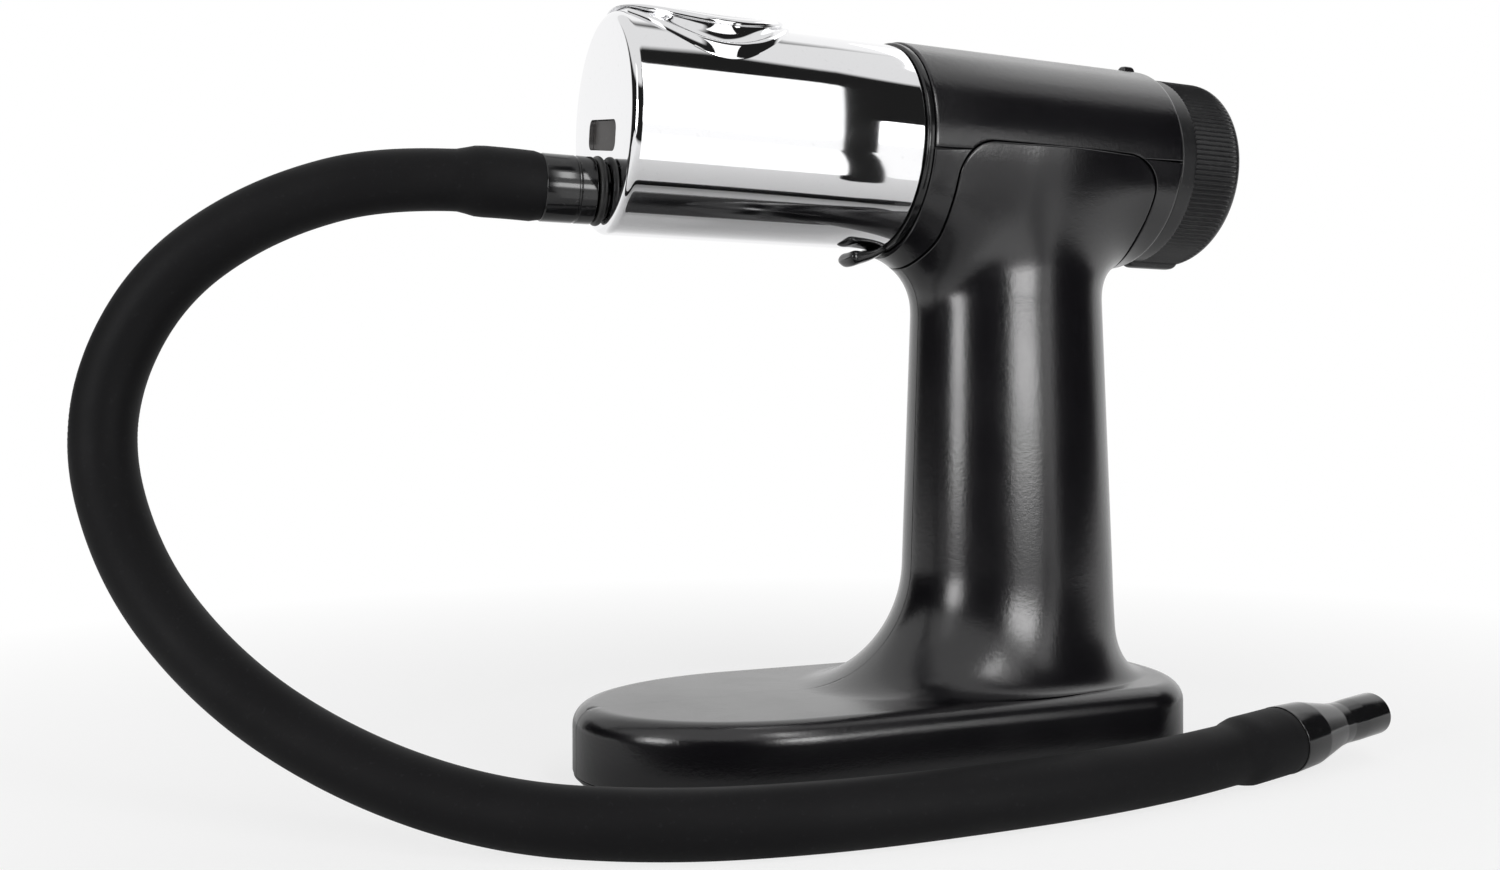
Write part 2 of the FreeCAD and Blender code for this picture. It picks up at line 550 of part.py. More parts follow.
def foot_wire(inset, height):
    """The foot's plan at one height: an elliptical nose and heel joined by straight sides."""
    half = float(d.foot_half_width) - inset
    nose_x = float(d.foot_front + d.foot_nose)
    heel_x = float(d.foot_rear - d.foot_heel)
    nose_tip = V(float(d.foot_front) + inset, 0, height)
    heel_tip = V(float(d.foot_rear) - inset, 0, height)
    nose = Part.Ellipse(nose_tip, V(nose_x, half, height), V(nose_x, 0, height))
    heel = Part.Ellipse(V(heel_x, half, height), heel_tip, V(heel_x, 0, height))
    edges = [Part.ArcOfEllipse(nose, -math.pi / 2, math.pi / 2).toShape(),
             Part.LineSegment(V(nose_x, half, height), V(heel_x, half, height)).toShape(),
             Part.ArcOfEllipse(heel, 0, math.pi).toShape(),
             Part.LineSegment(V(heel_x, -half, height), V(nose_x, -half, height)).toShape()]
    return Part.Wire(Part.sortEdges(edges)[0])


def foot_slab(inset, low, high):
    """The foot's plan, drawn in by an inset and carried from one height to another."""
    return Part.Face(foot_wire(inset, low)).extrude(Z * (high - low))


def level_edges(shape, height):
    """The edges of a shape that lie at one height."""
    return [edge for edge in shape.Edges
            if abs(edge.BoundBox.ZMin - height) < NEAR and abs(edge.BoundBox.ZMax - height) < NEAR]


def flare(radius, rise):
    """How far a quarter-round flare stands out at a height above the surface that it runs into."""
    if rise >= radius:
        return 0.0
    return radius - math.sqrt(radius ** 2 - (radius - rise) ** 2)


CHIN_STOP = 1.5
SHOULDER_DROP = 0.8


def handle_section(height, thinner, flared):
    """The handle's oval at one height: a straight taper, with flares at the foot and under the housing."""
    share = (height - float(d.ankle_height)) / float(d.waist_height - d.ankle_height)
    share = min(share, 1.0)
    half_length = float(d.ankle_half_length) + share * float(d.waist_half_length - d.ankle_half_length)
    half_width = float(d.ankle_half_width) + share * float(d.waist_half_width - d.ankle_half_width)
    front = rear = half_length
    rise = height - float(d.foot_top)
    if flared:
        front += flare(float(d.front_flare), rise)
        rear += flare(float(d.rear_flare), rise)
        half_width += flare(float(d.side_flare), rise)
    under = float(AXIS - d.housing_radius) - height
    climb = (height - float(d.waist_height)) / float(AXIS - d.waist_height)
    if climb > 0:
        chin = flare(float(d.chin_flare), max(under, CHIN_STOP))
        front += chin
        rear += chin
        half_width += float(d.housing_radius - d.waist_half_width - SHOULDER_DROP) * climb ** 2
    middle = float(d.handle_x) + (rear - front) / 2
    return middle, (front + rear) / 2 - thinner, half_width - thinner


def half_oval(height, thinner, flared, past):
    """The near half of the handle's oval as a closed outline, carried past the middle plane or short."""
    middle, half_length, half_width = handle_section(height, thinner, flared)
    left = V(middle - half_length, min(past, 0), height)
    right = V(middle + half_length, min(past, 0), height)
    oval = Part.Ellipse(V(middle, min(past, 0), height), half_length, half_width)
    edges = [Part.ArcOfEllipse(oval, math.pi, 2 * math.pi).toShape()]
    corners = [right, left]
    if past > 0:
        corners = [right, right + Y * past, left + Y * past, left]
    for start, end in zip(corners, corners[1:]):
        edges.append(Part.LineSegment(start, end).toShape())
    return Part.Wire(edges)


def handle_half(thinner, flared, past, heights):
    """A solid in straight bands through the near halves of the handle's ovals."""
    return Part.makeLoft([half_oval(height, thinner, flared, past) for height in heights], True, True)


foot_top = float(d.foot_top)
axis_z = float(AXIS)
housing_r = float(d.housing_radius)
bore_r = float(d.housing_radius - d.housing_wall)
SEAM_HALF = 0.06
FOOT_ROOF = 1.9
BAND_HEIGHTS = [75.0, 98.0]
top_heights = [float(d.waist_height), 123.5, 126.5, 128.5, 133.0, 145.0, axis_z]
FLARE_BANDS = 8
flare_turns = [math.pi / 2 * step / FLARE_BANDS for step in range(FLARE_BANDS + 1)]
flare_heights = [foot_top + float(d.front_flare) * (1 - math.cos(turn)) for turn in flare_turns]
outer_handle = handle_half(0.0, True, -SEAM_HALF, flare_heights + BAND_HEIGHTS + top_heights)
inner_heights = [foot_top - 2 * FOOT_ROOF] + BAND_HEIGHTS + top_heights
inner_handle = handle_half(float(d.shell_wall), False, PAST, inner_heights)


def gun_cylinder(radius, front, back):
    """A plain cylinder on the gun line between two places along it."""
    start = V(float(gun(front)), 0, axis_z)
    return Part.makeCylinder(radius, float(back - front), start, X)


def rounded_path(points, radii):
    """Straight runs through points, joined by tangent arcs of the given radii at the inner points."""
    edges = []
    last = points[0]
    for before, here, after, radius in zip(points, points[1:], points[2:], radii):
        back = (before - here).normalize()
        ahead = (after - here).normalize()
        half_turn = (math.pi - back.getAngle(ahead)) / 2
        reach = radius * math.tan(half_turn)
        start = here + back * reach
        end = here + ahead * reach
        inward = (back + ahead).normalize()
        middle = here + inward * (radius / math.cos(half_turn) - radius)
        edges.append(Part.LineSegment(last, start).toShape())
        edges.append(Part.Arc(start, middle, end).toShape())
        last = end
    edges.append(Part.LineSegment(last, points[-1]).toShape())
    return edges


# The panel's outline as (along, height from the gun line, corner radius, ways that it grows along and up).
PANEL = [(-20.0, -31.6, 0.0, 0, 1), (80.0, -31.6, 5.0, -1, 1), (89.0, 1.0, 9.0, -1, 1),
         (139.0, -2.0, 9.0, 1, 1), (147.5, -26.0, 12.0, 1, 0), (152.0, -36.0, 4.0, 1, 1),
         (260.0, -36.0, 0.0, 0, 1)]
BIG = 200.0


def panel_prism(grow):
    """The side view of the handle shells: the panel on the housing's flank and all that lies below it."""
    points = []
    for along, up, corner, way, rise in PANEL:
        points.append(V(float(gun(along + grow * way)), 0, axis_z + up + grow * rise))
    edges = rounded_path(points, [corner + grow for along, up, corner, way, rise in PANEL[1:-1]])
    far_left = points[0] - Z * BIG
    far_right = points[-1] - Z * BIG
    edges.append(Part.LineSegment(points[-1], far_right).toShape())
    edges.append(Part.LineSegment(far_right, far_left).toShape())
    edges.append(Part.LineSegment(far_left, points[0]).toShape())
    face = Part.Face(Part.Wire(edges))
    face.translate(Y * (-BIG / 2))
    return face.extrude(Y * BIG)


def mirrored(shape):
    """The far half of a shape that is alike on both sides."""
    return shape.mirror(V(), Y)


# The handle, the foot and the housing's side panels are two moulded halves that meet on the middle plane.
# They are hollow: the handle opens into the foot below and into the housing above.
near_space = Part.makeBox(2 * BIG, BIG, 2 * BIG, V(-BIG, -BIG - SEAM_HALF, -BIG))
housing_form = gun_cylinder(housing_r, d.housing_front, d.housing_back)
housing_inside = gun_cylinder(bore_r, d.housing_front - PAST, d.housing_back + PAST)
foot_block = foot_slab(0.0, float(d.wall_low), foot_top)
foot_block = foot_block.makeFillet(float(d.foot_round), level_edges(foot_block, foot_top))
foot_inside = foot_slab(float(d.shell_wall), float(d.wall_low) - PAST, foot_top - FOOT_ROOF)
latch_start = float(gun(d.bracket_front)) - PAST
latch_length = float(d.bracket_back - d.bracket_front) + PAST + CLEAR
latch_half = float(bracket_half) + CLEAR
gap_half = float(slot_half) + CLEAR
latch_low = axis_z - float(d.bracket_low)
latch_room = Part.makeBox(latch_length, 2 * latch_half, float(d.bracket_low - d.bracket_high) + 2 * CLEAR,
                          V(latch_start, -latch_half, latch_low - CLEAR))
latch_gap = Part.makeBox(latch_length, 2 * gap_half, float(d.bracket_low - d.bracket_high) + PAST,
                         V(latch_start, -gap_half, latch_low - PAST - CLEAR))
near_half = outer_handle.fuse(housing_form.common(near_space)).common(panel_prism(0.0))
near_half = near_half.fuse(foot_block.common(near_space))
for tool in (housing_inside, inner_handle, foot_inside, latch_room, latch_gap):
    near_half = near_half.cut(tool)

# Bosses for the screws: two across the handle, and four in the foot for the base plate.
BOSS_RADIUS = 3.4
BOSS_SETBACK = 8.0
HANDLE_BOSSES = ((62.0, 20.8), (104.0, 19.2))
PLATE_SCREWS = ((-50.0, -20.7), (58.0, -18.0))
HEAD_SEAT = 8.0
HEAD_RADIUS = 2.6
HANDLE_HEAD_HEIGHT = 2.0
STEM_END = 12.5
PLATE_STEM_TOP = 12.0
screw_stem = float(d.screw_stem)
screw_hole = float(d.screw_hole)
wall_low = float(d.wall_low)
boss_x = float(d.handle_x) + BOSS_SETBACK
for boss_z, reach in HANDLE_BOSSES:
    boss = Part.makeCylinder(BOSS_RADIUS, reach - SEAM_HALF, V(boss_x, -reach, boss_z), Y)
    hole = Part.makeCylinder(screw_hole, STEM_END + PAST, V(boss_x, -STEM_END - 1, boss_z), Y)
    near_half = near_half.fuse(boss).cut(hole)
for screw_x, screw_y in PLATE_SCREWS:
    near_half = near_half.fuse(bored(BOSS_RADIUS, wall_low + LOOSE, foot_top - 1, screw_x, screw_y))
    near_half = near_half.cut(bored(screw_hole, 0.0, PLATE_STEM_TOP + 1, screw_x, screw_y))
far_half = mirrored(near_half)
handle_screws = []
for boss_z, reach in HANDLE_BOSSES:
    far_half = far_half.cut(Part.makeCylinder(HEAD_RADIUS + CLEAR, TALL, V(boss_x, HEAD_SEAT, boss_z), Y))
    head = Part.makeCylinder(HEAD_RADIUS, HANDLE_HEAD_HEIGHT, V(boss_x, HEAD_SEAT + TOUCH, boss_z), Y)
    stem = Part.makeCylinder(screw_stem, STEM_END + HEAD_SEAT + 1, V(boss_x, -STEM_END, boss_z), Y)
    handle_screws.append(head.fuse(stem))
node("left_handle_shell", shaped("left_handle_shell", near_half))
node("right_handle_shell", shaped("right_handle_shell", far_half))
node("handle_screws", shaped("handle_screws", Part.makeCompound(handle_screws)))

# The housing's other three pieces: a long upper shell, and two lower pieces before and behind the panels.
panel_room = panel_prism(float(d.seam))
parting_z = axis_z - float(d.parting_drop)
front_x = float(gun(d.housing_front)) - 1
middle_x = float(d.handle_x)
above = Part.makeBox(BIG, BIG, BIG, V(front_x, -BIG / 2, parting_z + SEAM_HALF))
round_form = housing_form.makeFillet(float(d.housing_round), [
    edge for edge in housing_form.Edges
    if abs(edge.BoundBox.XMin - float(gun(d.housing_back))) < NEAR and edge.BoundBox.XLength < NEAR])
LENS_ALONG = 146.6
LENS_TURN = 13.0
LENS_LENGTH = 4.5
LENS_WIDTH = 2.9
LENS_RISE = 1.3
LENS_ROUND = 0.7


def lens_block(wider, low):
    """The lens's block on top of the housing, turned towards the near side; low counts from the gun line."""
    length = LENS_LENGTH + wider
    width = LENS_WIDTH + wider
    box = Part.makeBox(length, width, housing_r + LENS_RISE - low,
                       V(float(gun(LENS_ALONG)) - length / 2, -width / 2, axis_z + low))
    box = box.makeFillet(LENS_ROUND, level_edges(box, axis_z + housing_r + LENS_RISE))
    box.rotate(V(0, 0, axis_z), X, LENS_TURN)
    return box


lens_hole = lens_block(CLEAR, bore_r - 1)
upper = round_form.common(above)
for tool in (housing_inside, panel_room, lens_hole):
    upper = upper.cut(tool)
node("upper_housing", shaped("upper_housing", upper))
handle_top = handle_half(0.0, True, 0.0, top_heights)
whole_handle = handle_top.fuse(mirrored(handle_top))


def lower_piece(form, start_x, end_x):
    """The housing below its parting line between two places, with the handle's flare under it."""
    room = Part.makeBox(end_x - start_x, BIG, BIG, V(start_x, -BIG / 2, parting_z - BIG - SEAM_HALF))
    piece = form.common(room).fuse(whole_handle.common(room))
    for tool in (housing_inside, inner_handle, mirrored(inner_handle), panel_room, latch_room, latch_gap):
        piece = piece.cut(tool)
    return piece


node("lower_front_housing", shaped("lower_front_housing", lower_piece(housing_form, front_x, middle_x)))
node("lower_rear_housing", shaped("lower_rear_housing", lower_piece(round_form, middle_x, middle_x + BIG)))
node("indicator_lens", shaped("indicator_lens", lens_block(0.0, bore_r + LOOSE)))

# The base plate closes the foot. Its lower edge is chamfered inwards, a rubber ring lies under it, and the
# battery cover slides in a recess of its underside.
COVER_FRONT = -72.0
COVER_BACK = 40.0
COVER_HALF = 16.4
COVER_WALL = 1.0
COVER_LEDGE = 3.0
COVER_TRAVEL = 8.0
PLATE_CHAMFER = 1.6
PLATE_HEAD = 3.0
HEAD_DEPTH = 1.2
plate_low = float(d.plate_low)
cover_length = COVER_BACK - COVER_FRONT
opening_half = COVER_HALF - 0.7
plate = foot_slab(CLEAR, plate_low, float(d.plate_high))
plate = plate.makeChamfer(PLATE_CHAMFER, level_edges(plate, plate_low))
cell_opening = Part.makeBox(cover_length - 2 * COVER_LEDGE, 2 * opening_half, TALL,
                            V(COVER_FRONT + COVER_LEDGE, -opening_half, 0))
recess_half = COVER_HALF + CLEAR
cover_recess = Part.makeBox(cover_length + COVER_TRAVEL + 1, 2 * recess_half, plate_low + COVER_WALL + CLEAR,
                            V(COVER_FRONT - CLEAR, -recess_half, 0))
plate = plate.cut(cell_opening).cut(cover_recess)
plate_screws = []
for screw_x, screw_y in PLATE_SCREWS:
    for side_y in (screw_y, -screw_y):
        plate = plate.cut(bored(screw_hole, 0, TALL, screw_x, side_y))
        plate = plate.cut(bored(PLATE_HEAD + CLEAR, 0, plate_low + HEAD_DEPTH, screw_x, side_y))
        head = bored(PLATE_HEAD, plate_low + TOUCH, plate_low + HEAD_DEPTH - TOUCH, screw_x, side_y)
        plate_screws.append(head.fuse(bored(screw_stem, plate_low + 1, PLATE_STEM_TOP, screw_x, side_y)))
node("base_plate", shaped("base_plate", plate))
node("base_plate_screws", shaped("base_plate_screws", Part.makeCompound(plate_screws)))
RUBBER_INSET = 3.2
RUBBER_WIDTH = 5.0
rubber = foot_slab(RUBBER_INSET, 0.0, plate_low - FIT)
rubber = rubber.cut(foot_slab(RUBBER_INSET + RUBBER_WIDTH, -PAST, PAST))
node("non_slip_ring", shaped("non_slip_ring", rubber))
GRIPS = 5
GRIP_WIDTH = 1.2
GRIP_HALF = 8.0
cover_corner = V(COVER_FRONT, -COVER_HALF, plate_low + TOUCH)
cover = Part.makeBox(cover_length, 2 * COVER_HALF, COVER_WALL, cover_corner)
for step in range(GRIPS):
    grip_corner = V(COVER_BACK - COVER_TRAVEL - 2 * GRIP_WIDTH * step, -GRIP_HALF, plate_low - LOOSE)
    cover = cover.cut(Part.makeBox(GRIP_WIDTH, 2 * GRIP_HALF, 2 * CLEAR, grip_corner))
node("battery_cover", shaped("battery_cover", cover))

# Four cells lie in two rows in a cradle, between contact plates at its ends.
CRADLE_HALF = 16.6
CRADLE_LOW = 2.95
CRADLE_HEIGHT = 13.8
CRADLE_WALL = 1.2
CELL_GAP = 0.6
NUB_HEIGHT = 1.2
NUB_RADIUS = 2.7
CONTACT_WALL = 0.5
CONTACT_HALF = 5.5
CONTACT_GAP = 0.2
cell_front = float(d.cell_front)
cell_pitch = float(d.cell_length) + CELL_GAP
end_room = CONTACT_GAP + CONTACT_WALL + 2 * CLEAR + CRADLE_WALL
cradle_front = cell_front - end_room
cradle_length = 2 * cell_pitch + 2 * end_room
cradle_corner = V(cradle_front, -CRADLE_HALF, CRADLE_LOW)
cradle = Part.makeBox(cradle_length, 2 * CRADLE_HALF, CRADLE_HEIGHT, cradle_corner)
cradle = cradle.cut(Part.makeBox(cradle_length - 2 * CRADLE_WALL, 2 * (CRADLE_HALF - CRADLE_WALL), TALL,
                                 V(cradle_front + CRADLE_WALL, CRADLE_WALL - CRADLE_HALF, 0)))
node("battery_cradle", shaped("battery_cradle", cradle))
cell_number = 0
for row in (-1, 1):
    for place_in_row in range(2):
        cell_number += 1
        start = d.cell_front + cell_pitch * place_in_row
        can_length = d.cell_length - NUB_HEIGHT
        aside = d.cell_spread * row
        can = rod("cell_can", start, aside, d.cell_height, d.cell_radius, can_length, ALONG_X)
        nub = rod("cell_nub", start + can_length, aside, d.cell_height, NUB_RADIUS, NUB_HEIGHT, ALONG_X)
        node("battery_cell_%d" % cell_number, join("battery_cell_%d" % cell_number, [can, nub]))
contacts = []
contact_z = float(d.cell_height) - CONTACT_HALF
rear_contact = cell_front + 2 * cell_pitch - CELL_GAP + CONTACT_GAP
for contact_x in (cell_front - CONTACT_GAP - CONTACT_WALL, rear_contact):
    for row in (-1, 1):
        contact_y = row * float(d.cell_spread) - CONTACT_HALF
        contacts.append(Part.makeBox(CONTACT_WALL, 2 * CONTACT_HALF, 2 * CONTACT_HALF,
                                     V(contact_x, contact_y, contact_z)))
node("battery_contacts", shaped("battery_contacts", Part.makeCompound(contacts)))

# A circuit board stands across the housing on posts from the rear bulkhead.
BOARD_ALONG = 126.0
BOARD_WALL = 1.6
BOARD_HALF_WIDTH = 17.0
BOARD_HALF_HEIGHT = 13.0
POST_SPREAD = 13.0
POST_RISE = 9.0
POST_RADIUS = 1.8
CHIP = V(2.0, 9.0, 7.0)
board_x = float(gun(BOARD_ALONG))
board = Part.makeBox(BOARD_WALL, 2 * BOARD_HALF_WIDTH, 2 * BOARD_HALF_HEIGHT,
                     V(board_x, -BOARD_HALF_WIDTH, axis_z - BOARD_HALF_HEIGHT))
post_start = board_x + BOARD_WALL + TOUCH
post_length = float(gun(d.bulkhead_front)) - post_start - TOUCH
board_posts = []
for side_y in (-POST_SPREAD, POST_SPREAD):
    for side_z in (-POST_RISE, POST_RISE):
        post_foot = V(post_start, side_y, axis_z + side_z)
        board_posts.append(Part.makeCylinder(POST_RADIUS, post_length, post_foot, X))
chip = Part.makeBox(CHIP.x, CHIP.y, CHIP.z, V(board_x - CHIP.x + LOOSE, -CHIP.y / 2, axis_z - CHIP.z))
node("circuit_board", shaped("circuit_board", board.fuse(chip)))
node("board_posts", shaped("board_posts", Part.makeCompound(board_posts)))


RUN_SHARE = 0.45


def run_radii(points, name):
    """The arc at each inner point that takes up nearly half of the shorter run there."""
    radii = []
    for before, here, after in zip(points, points[1:], points[2:]):
        back = before - here
        ahead = after - here
        half_turn = (math.pi - back.getAngle(ahead)) / 2
        radii.append(RUN_SHARE * min(back.Length, ahead.Length) / math.tan(half_turn))
    print(name, "arc radii", [round(radius, 1) for radius in radii])
    return radii


def round_run(path, radius, points):
    """A full round bar along a path that starts at the first point."""
    rim = Part.Wire(Part.makeCircle(radius, points[0], points[1] - points[0]))
    bar = path.makePipeShell([rim], True, False)
    print("length", round(path.Length, 1), "volume over section times length",
          round(bar.Volume / (math.pi * radius ** 2 * path.Length), 4))
    return bar


# The wire loom runs up the hollow handle from the cells to the circuit board.
LOOM_RADIUS = 1.5
LOOM_ROUTE = [V(12, 0, 17.4), V(13, 0, 45), V(12, 0, 75), V(14, 0, 103), V(27, 0, 126), V(41.6, 0, 140)]
loom_path = Part.Wire(rounded_path(LOOM_ROUTE, run_radii(LOOM_ROUTE, "wire loom")))
node("wire_loom", shaped("wire_loom", round_run(loom_path, LOOM_RADIUS, LOOM_ROUTE)))

# The hose leaves the adapter, arches forward and down to the table, and lies along the foot's near side.
# Its two ends are stretched over barbs and stand out as sleeves.
HOSE_ROUTE = [
    V(float(gun(d.adapter_front)) - TOUCH, 0, axis_z - float(d.port_drop)), V(-129.5, 0.5, 142.3),
    V(-160, 9, 134), V(-181, 18, 115.5), V(-191.5, 20.5, 86), V(-185.5, 14, 55.5), V(-167.5, -1, 32),
    V(-144, -20, 16.5), V(-117, -41, 8), V(-87, -58, 7.3), V(-54, -65, 7.2), V(-20, -66.5, 7.2),
    V(15, -65, 7.3), V(49.5, -59.9, 7.7), V(83, -53, 9.2)]


def hose_sleeve(end, inward):
    """A hose end stretched over its barb: a wider sleeve that tapers back to the hose."""
    sleeve_r = float(d.sleeve_radius)
    taper = float(d.sleeve_taper)
    length = float(d.sleeve_length) - taper
    straight = Part.makeCylinder(sleeve_r, length, end, inward)
    return straight.fuse(Part.makeCone(sleeve_r, float(d.hose_radius), taper, end + inward * length, inward))


hose_path = Part.Wire(rounded_path(HOSE_ROUTE, run_radii(HOSE_ROUTE, "hose")))
hose = round_run(hose_path, float(d.hose_radius), HOSE_ROUTE)
hose_bore = round_run(hose_path, float(d.hose_bore), HOSE_ROUTE)
socket = float(d.barb_radius) + 0.25
first_heading = (HOSE_ROUTE[1] - HOSE_ROUTE[0]).normalize()
last_heading = (HOSE_ROUTE[-2] - HOSE_ROUTE[-1]).normalize()
hose_ends = ((HOSE_ROUTE[0], first_heading), (HOSE_ROUTE[-1], last_heading))
for end, inward in hose_ends:
    hose = hose.fuse(hose_sleeve(end, inward))
hose = hose.cut(hose_bore)
for end, inward in hose_ends:
    hose = hose.cut(Part.makeCylinder(socket, float(d.sleeve_length) + PAST, end - inward, inward))
node("smoke_hose", shaped("smoke_hose", hose))

# The nozzle has a barb in the hose, a gloss collar, a waisted cone and a narrower open tip.
nozzle_end = d.nozzle_barb + d.nozzle_length
nozzle = turned("hose_nozzle", [
    (0, d.nozzle_bore), (0, d.barb_radius - d.barb_chamfer), (d.barb_lead, d.barb_radius),
    (d.nozzle_barb + TOUCH, d.barb_radius), (d.nozzle_barb + TOUCH, d.nozzle_foot),
    (d.nozzle_barb + d.collar_length, d.nozzle_collar), (d.nozzle_barb + d.cone_start, d.cone_start_radius),
    (d.nozzle_barb + d.cone_end, d.cone_end_radius), (d.nozzle_barb + d.tip_start, d.tip_radius),
    (nozzle_end, d.tip_radius), (nozzle_end, d.nozzle_bore)], 0, 0, 0)
nozzle_start = HOSE_ROUTE[-1] + last_heading * float(d.nozzle_barb)
place(nozzle, nozzle_start.x, nozzle_start.y, nozzle_start.z, FreeCAD.Rotation(X, last_heading * -1))
node("hose_nozzle", nozzle)

doc.recompute()
for thing in doc.Objects:
    if "Invalid" in thing.State or "Error" in thing.State:
        raise RuntimeError("%s did not build" % thing.Label)
for thing in nodes:
    if thing.Shape.isNull() or not thing.Shape.isValid():
        raise RuntimeError("%s has no valid shape" % thing.Label)
os.makedirs("parts", exist_ok=True)
for thing in nodes:
    thing.Shape.exportStep("parts/%s.step" % thing.Label)
print(len(nodes), "nodes written")
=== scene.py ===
import math

import bmesh
import bpy
import numpy as np
from mathutils import Matrix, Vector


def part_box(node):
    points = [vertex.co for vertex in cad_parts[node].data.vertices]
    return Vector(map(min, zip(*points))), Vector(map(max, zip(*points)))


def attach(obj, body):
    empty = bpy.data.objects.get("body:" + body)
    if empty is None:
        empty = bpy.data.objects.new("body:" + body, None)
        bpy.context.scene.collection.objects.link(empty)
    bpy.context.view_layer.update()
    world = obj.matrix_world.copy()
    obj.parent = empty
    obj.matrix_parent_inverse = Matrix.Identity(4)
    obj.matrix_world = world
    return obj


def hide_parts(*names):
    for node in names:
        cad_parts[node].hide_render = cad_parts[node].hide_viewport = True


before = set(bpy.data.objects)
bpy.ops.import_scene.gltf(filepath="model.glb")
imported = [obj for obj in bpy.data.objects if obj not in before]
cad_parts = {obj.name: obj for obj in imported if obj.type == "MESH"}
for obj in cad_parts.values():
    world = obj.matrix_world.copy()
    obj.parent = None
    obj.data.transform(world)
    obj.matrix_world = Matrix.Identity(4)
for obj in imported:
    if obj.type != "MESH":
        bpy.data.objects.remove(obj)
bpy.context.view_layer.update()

# The camera stands low in front of the object, level with the middle of the handle, and looks past the
# barrel's nose towards the dial. Sizes in this file are millimetres; MM turns them into the frame's metres.
MM = 0.001
PHOTO_WIDTH = 1500
FOCAL_PIXELS = 1297
SENSOR = 36.0
EYE = (-167.6, -297.6, 83.2)
YAW = math.radians(22.42)
ROLL = math.radians(-0.15)
ahead = np.array((math.sin(YAW), math.cos(YAW), 0.0))
level = np.array((math.cos(YAW), -math.sin(YAW), 0.0))
upright = np.array((0.0, 0.0, 1.0))
across = math.cos(ROLL) * level + math.sin(ROLL) * upright
aloft = math.cos(ROLL) * upright - math.sin(ROLL) * level
pose = np.eye(4)
pose[:3, :3] = np.column_stack((across, aloft, -ahead))
pose[:3, 3] = np.array(EYE) * MM
camera = bpy.data.objects.new("camera", bpy.data.cameras.new("camera"))
camera.data.sensor_width = SENSOR
camera.data.lens = SENSOR * FOCAL_PIXELS / PHOTO_WIDTH
camera.matrix_world = Matrix(pose.tolist())
bpy.context.scene.collection.objects.link(camera)
bpy.context.scene.camera = camera
bpy.context.scene.view_settings.view_transform = "Standard"


# The smoke hose is one length of soft black silicone tube with a powdery matt skin. It leaves the barrel's
# face, arches forward and down, and lies along the foot. Both ends are stretched over barbs, and the far
# one is held in the nozzle's socket.
COLOUR = "NodeSocketColor"
VALUE = "NodeSocketFloat"


def effect(name, inputs, outputs):
    """An empty shader node group with named inputs and outputs, each a pair of name and socket type. Given
    back are the group, its input sockets and its output sockets."""
    tree = bpy.data.node_groups.new(name, "ShaderNodeTree")
    for socket, kind in inputs:
        tree.interface.new_socket(socket, in_out="INPUT", socket_type=kind)
    for socket, kind in outputs:
        tree.interface.new_socket(socket, in_out="OUTPUT", socket_type=kind)
    return tree, tree.nodes.new("NodeGroupInput").outputs, tree.nodes.new("NodeGroupOutput").inputs


def noise(tree, scale, detail):
    """A noise value over Object coordinates, at the scale that a socket gives."""
    place = tree.nodes.new("ShaderNodeTexCoord")
    cells = tree.nodes.new("ShaderNodeTexNoise")
    cells.inputs["Detail"].default_value = detail
    tree.links.new(scale, cells.inputs["Scale"])
    tree.links.new(place.outputs["Object"], cells.inputs["Vector"])
    return cells.outputs["Fac"]


def between(tree, value, low, high, start=0.3, end=0.7):
    """A value drawn from the range start..end to the range low..high."""
    span = tree.nodes.new("ShaderNodeMapRange")
    span.inputs["From Min"].default_value = start
    span.inputs["From Max"].default_value = end
    span.inputs["To Min"].default_value = low
    span.inputs["To Max"].default_value = high
    tree.links.new(value, span.inputs["Value"])
    return span.outputs["Result"]


# Handling: a colour that turns paler where fine dust lies, and a roughness that shifts in smudges.
handling, given, result = effect(
    "handling", (("Colour", COLOUR), ("Dust Colour", COLOUR), ("Dust Scale", VALUE), ("Roughness", VALUE),
                 ("Smudge Shift", VALUE), ("Smudge Scale", VALUE)), (("Colour", COLOUR), ("Roughness", VALUE)))
dust = between(handling, noise(handling, given["Dust Scale"], 2.0), 0.0, 1.0, 0.62, 0.78)
dusty = handling.nodes.new("ShaderNodeMix")
dusty.data_type = "RGBA"
handling.links.new(dust, dusty.inputs["Factor"])
handling.links.new(given["Colour"], dusty.inputs["A"])
handling.links.new(given["Dust Colour"], dusty.inputs["B"])
handling.links.new(dusty.outputs["Result"], result["Colour"])
smudge = between(handling, noise(handling, given["Smudge Scale"], 4.0), 0.0, 1.0, 0.35, 0.65)
shifted = handling.nodes.new("ShaderNodeMath")
shifted.operation = "MULTIPLY_ADD"
handling.links.new(smudge, shifted.inputs[0])
handling.links.new(given["Smudge Shift"], shifted.inputs[1])
handling.links.new(given["Roughness"], shifted.inputs[2])
handling.links.new(shifted.outputs["Value"], result["Roughness"])

# Tool grain: the pebbled skin that a mould leaves, fine cells over coarser ones.
tool_grain, given, result = effect(
    "tool_grain", (("Fine Scale", VALUE), ("Coarse Scale", VALUE)), (("Height", VALUE),))
both = tool_grain.nodes.new("ShaderNodeMath")
tool_grain.links.new(noise(tool_grain, given["Fine Scale"], 2.0), both.inputs[0])
tool_grain.links.new(noise(tool_grain, given["Coarse Scale"], 1.0), both.inputs[1])
tool_grain.links.new(both.outputs["Value"], result["Height"])


def placed(tree, group, **values):
    """A node group placed in a material's tree, with its own values for the inputs. Its outputs are given back."""
    node = tree.nodes.new("ShaderNodeGroup")
    node.node_tree = group
    for name, value in values.items():
        node.inputs[name.replace("_", " ")].default_value = value
    return node.outputs


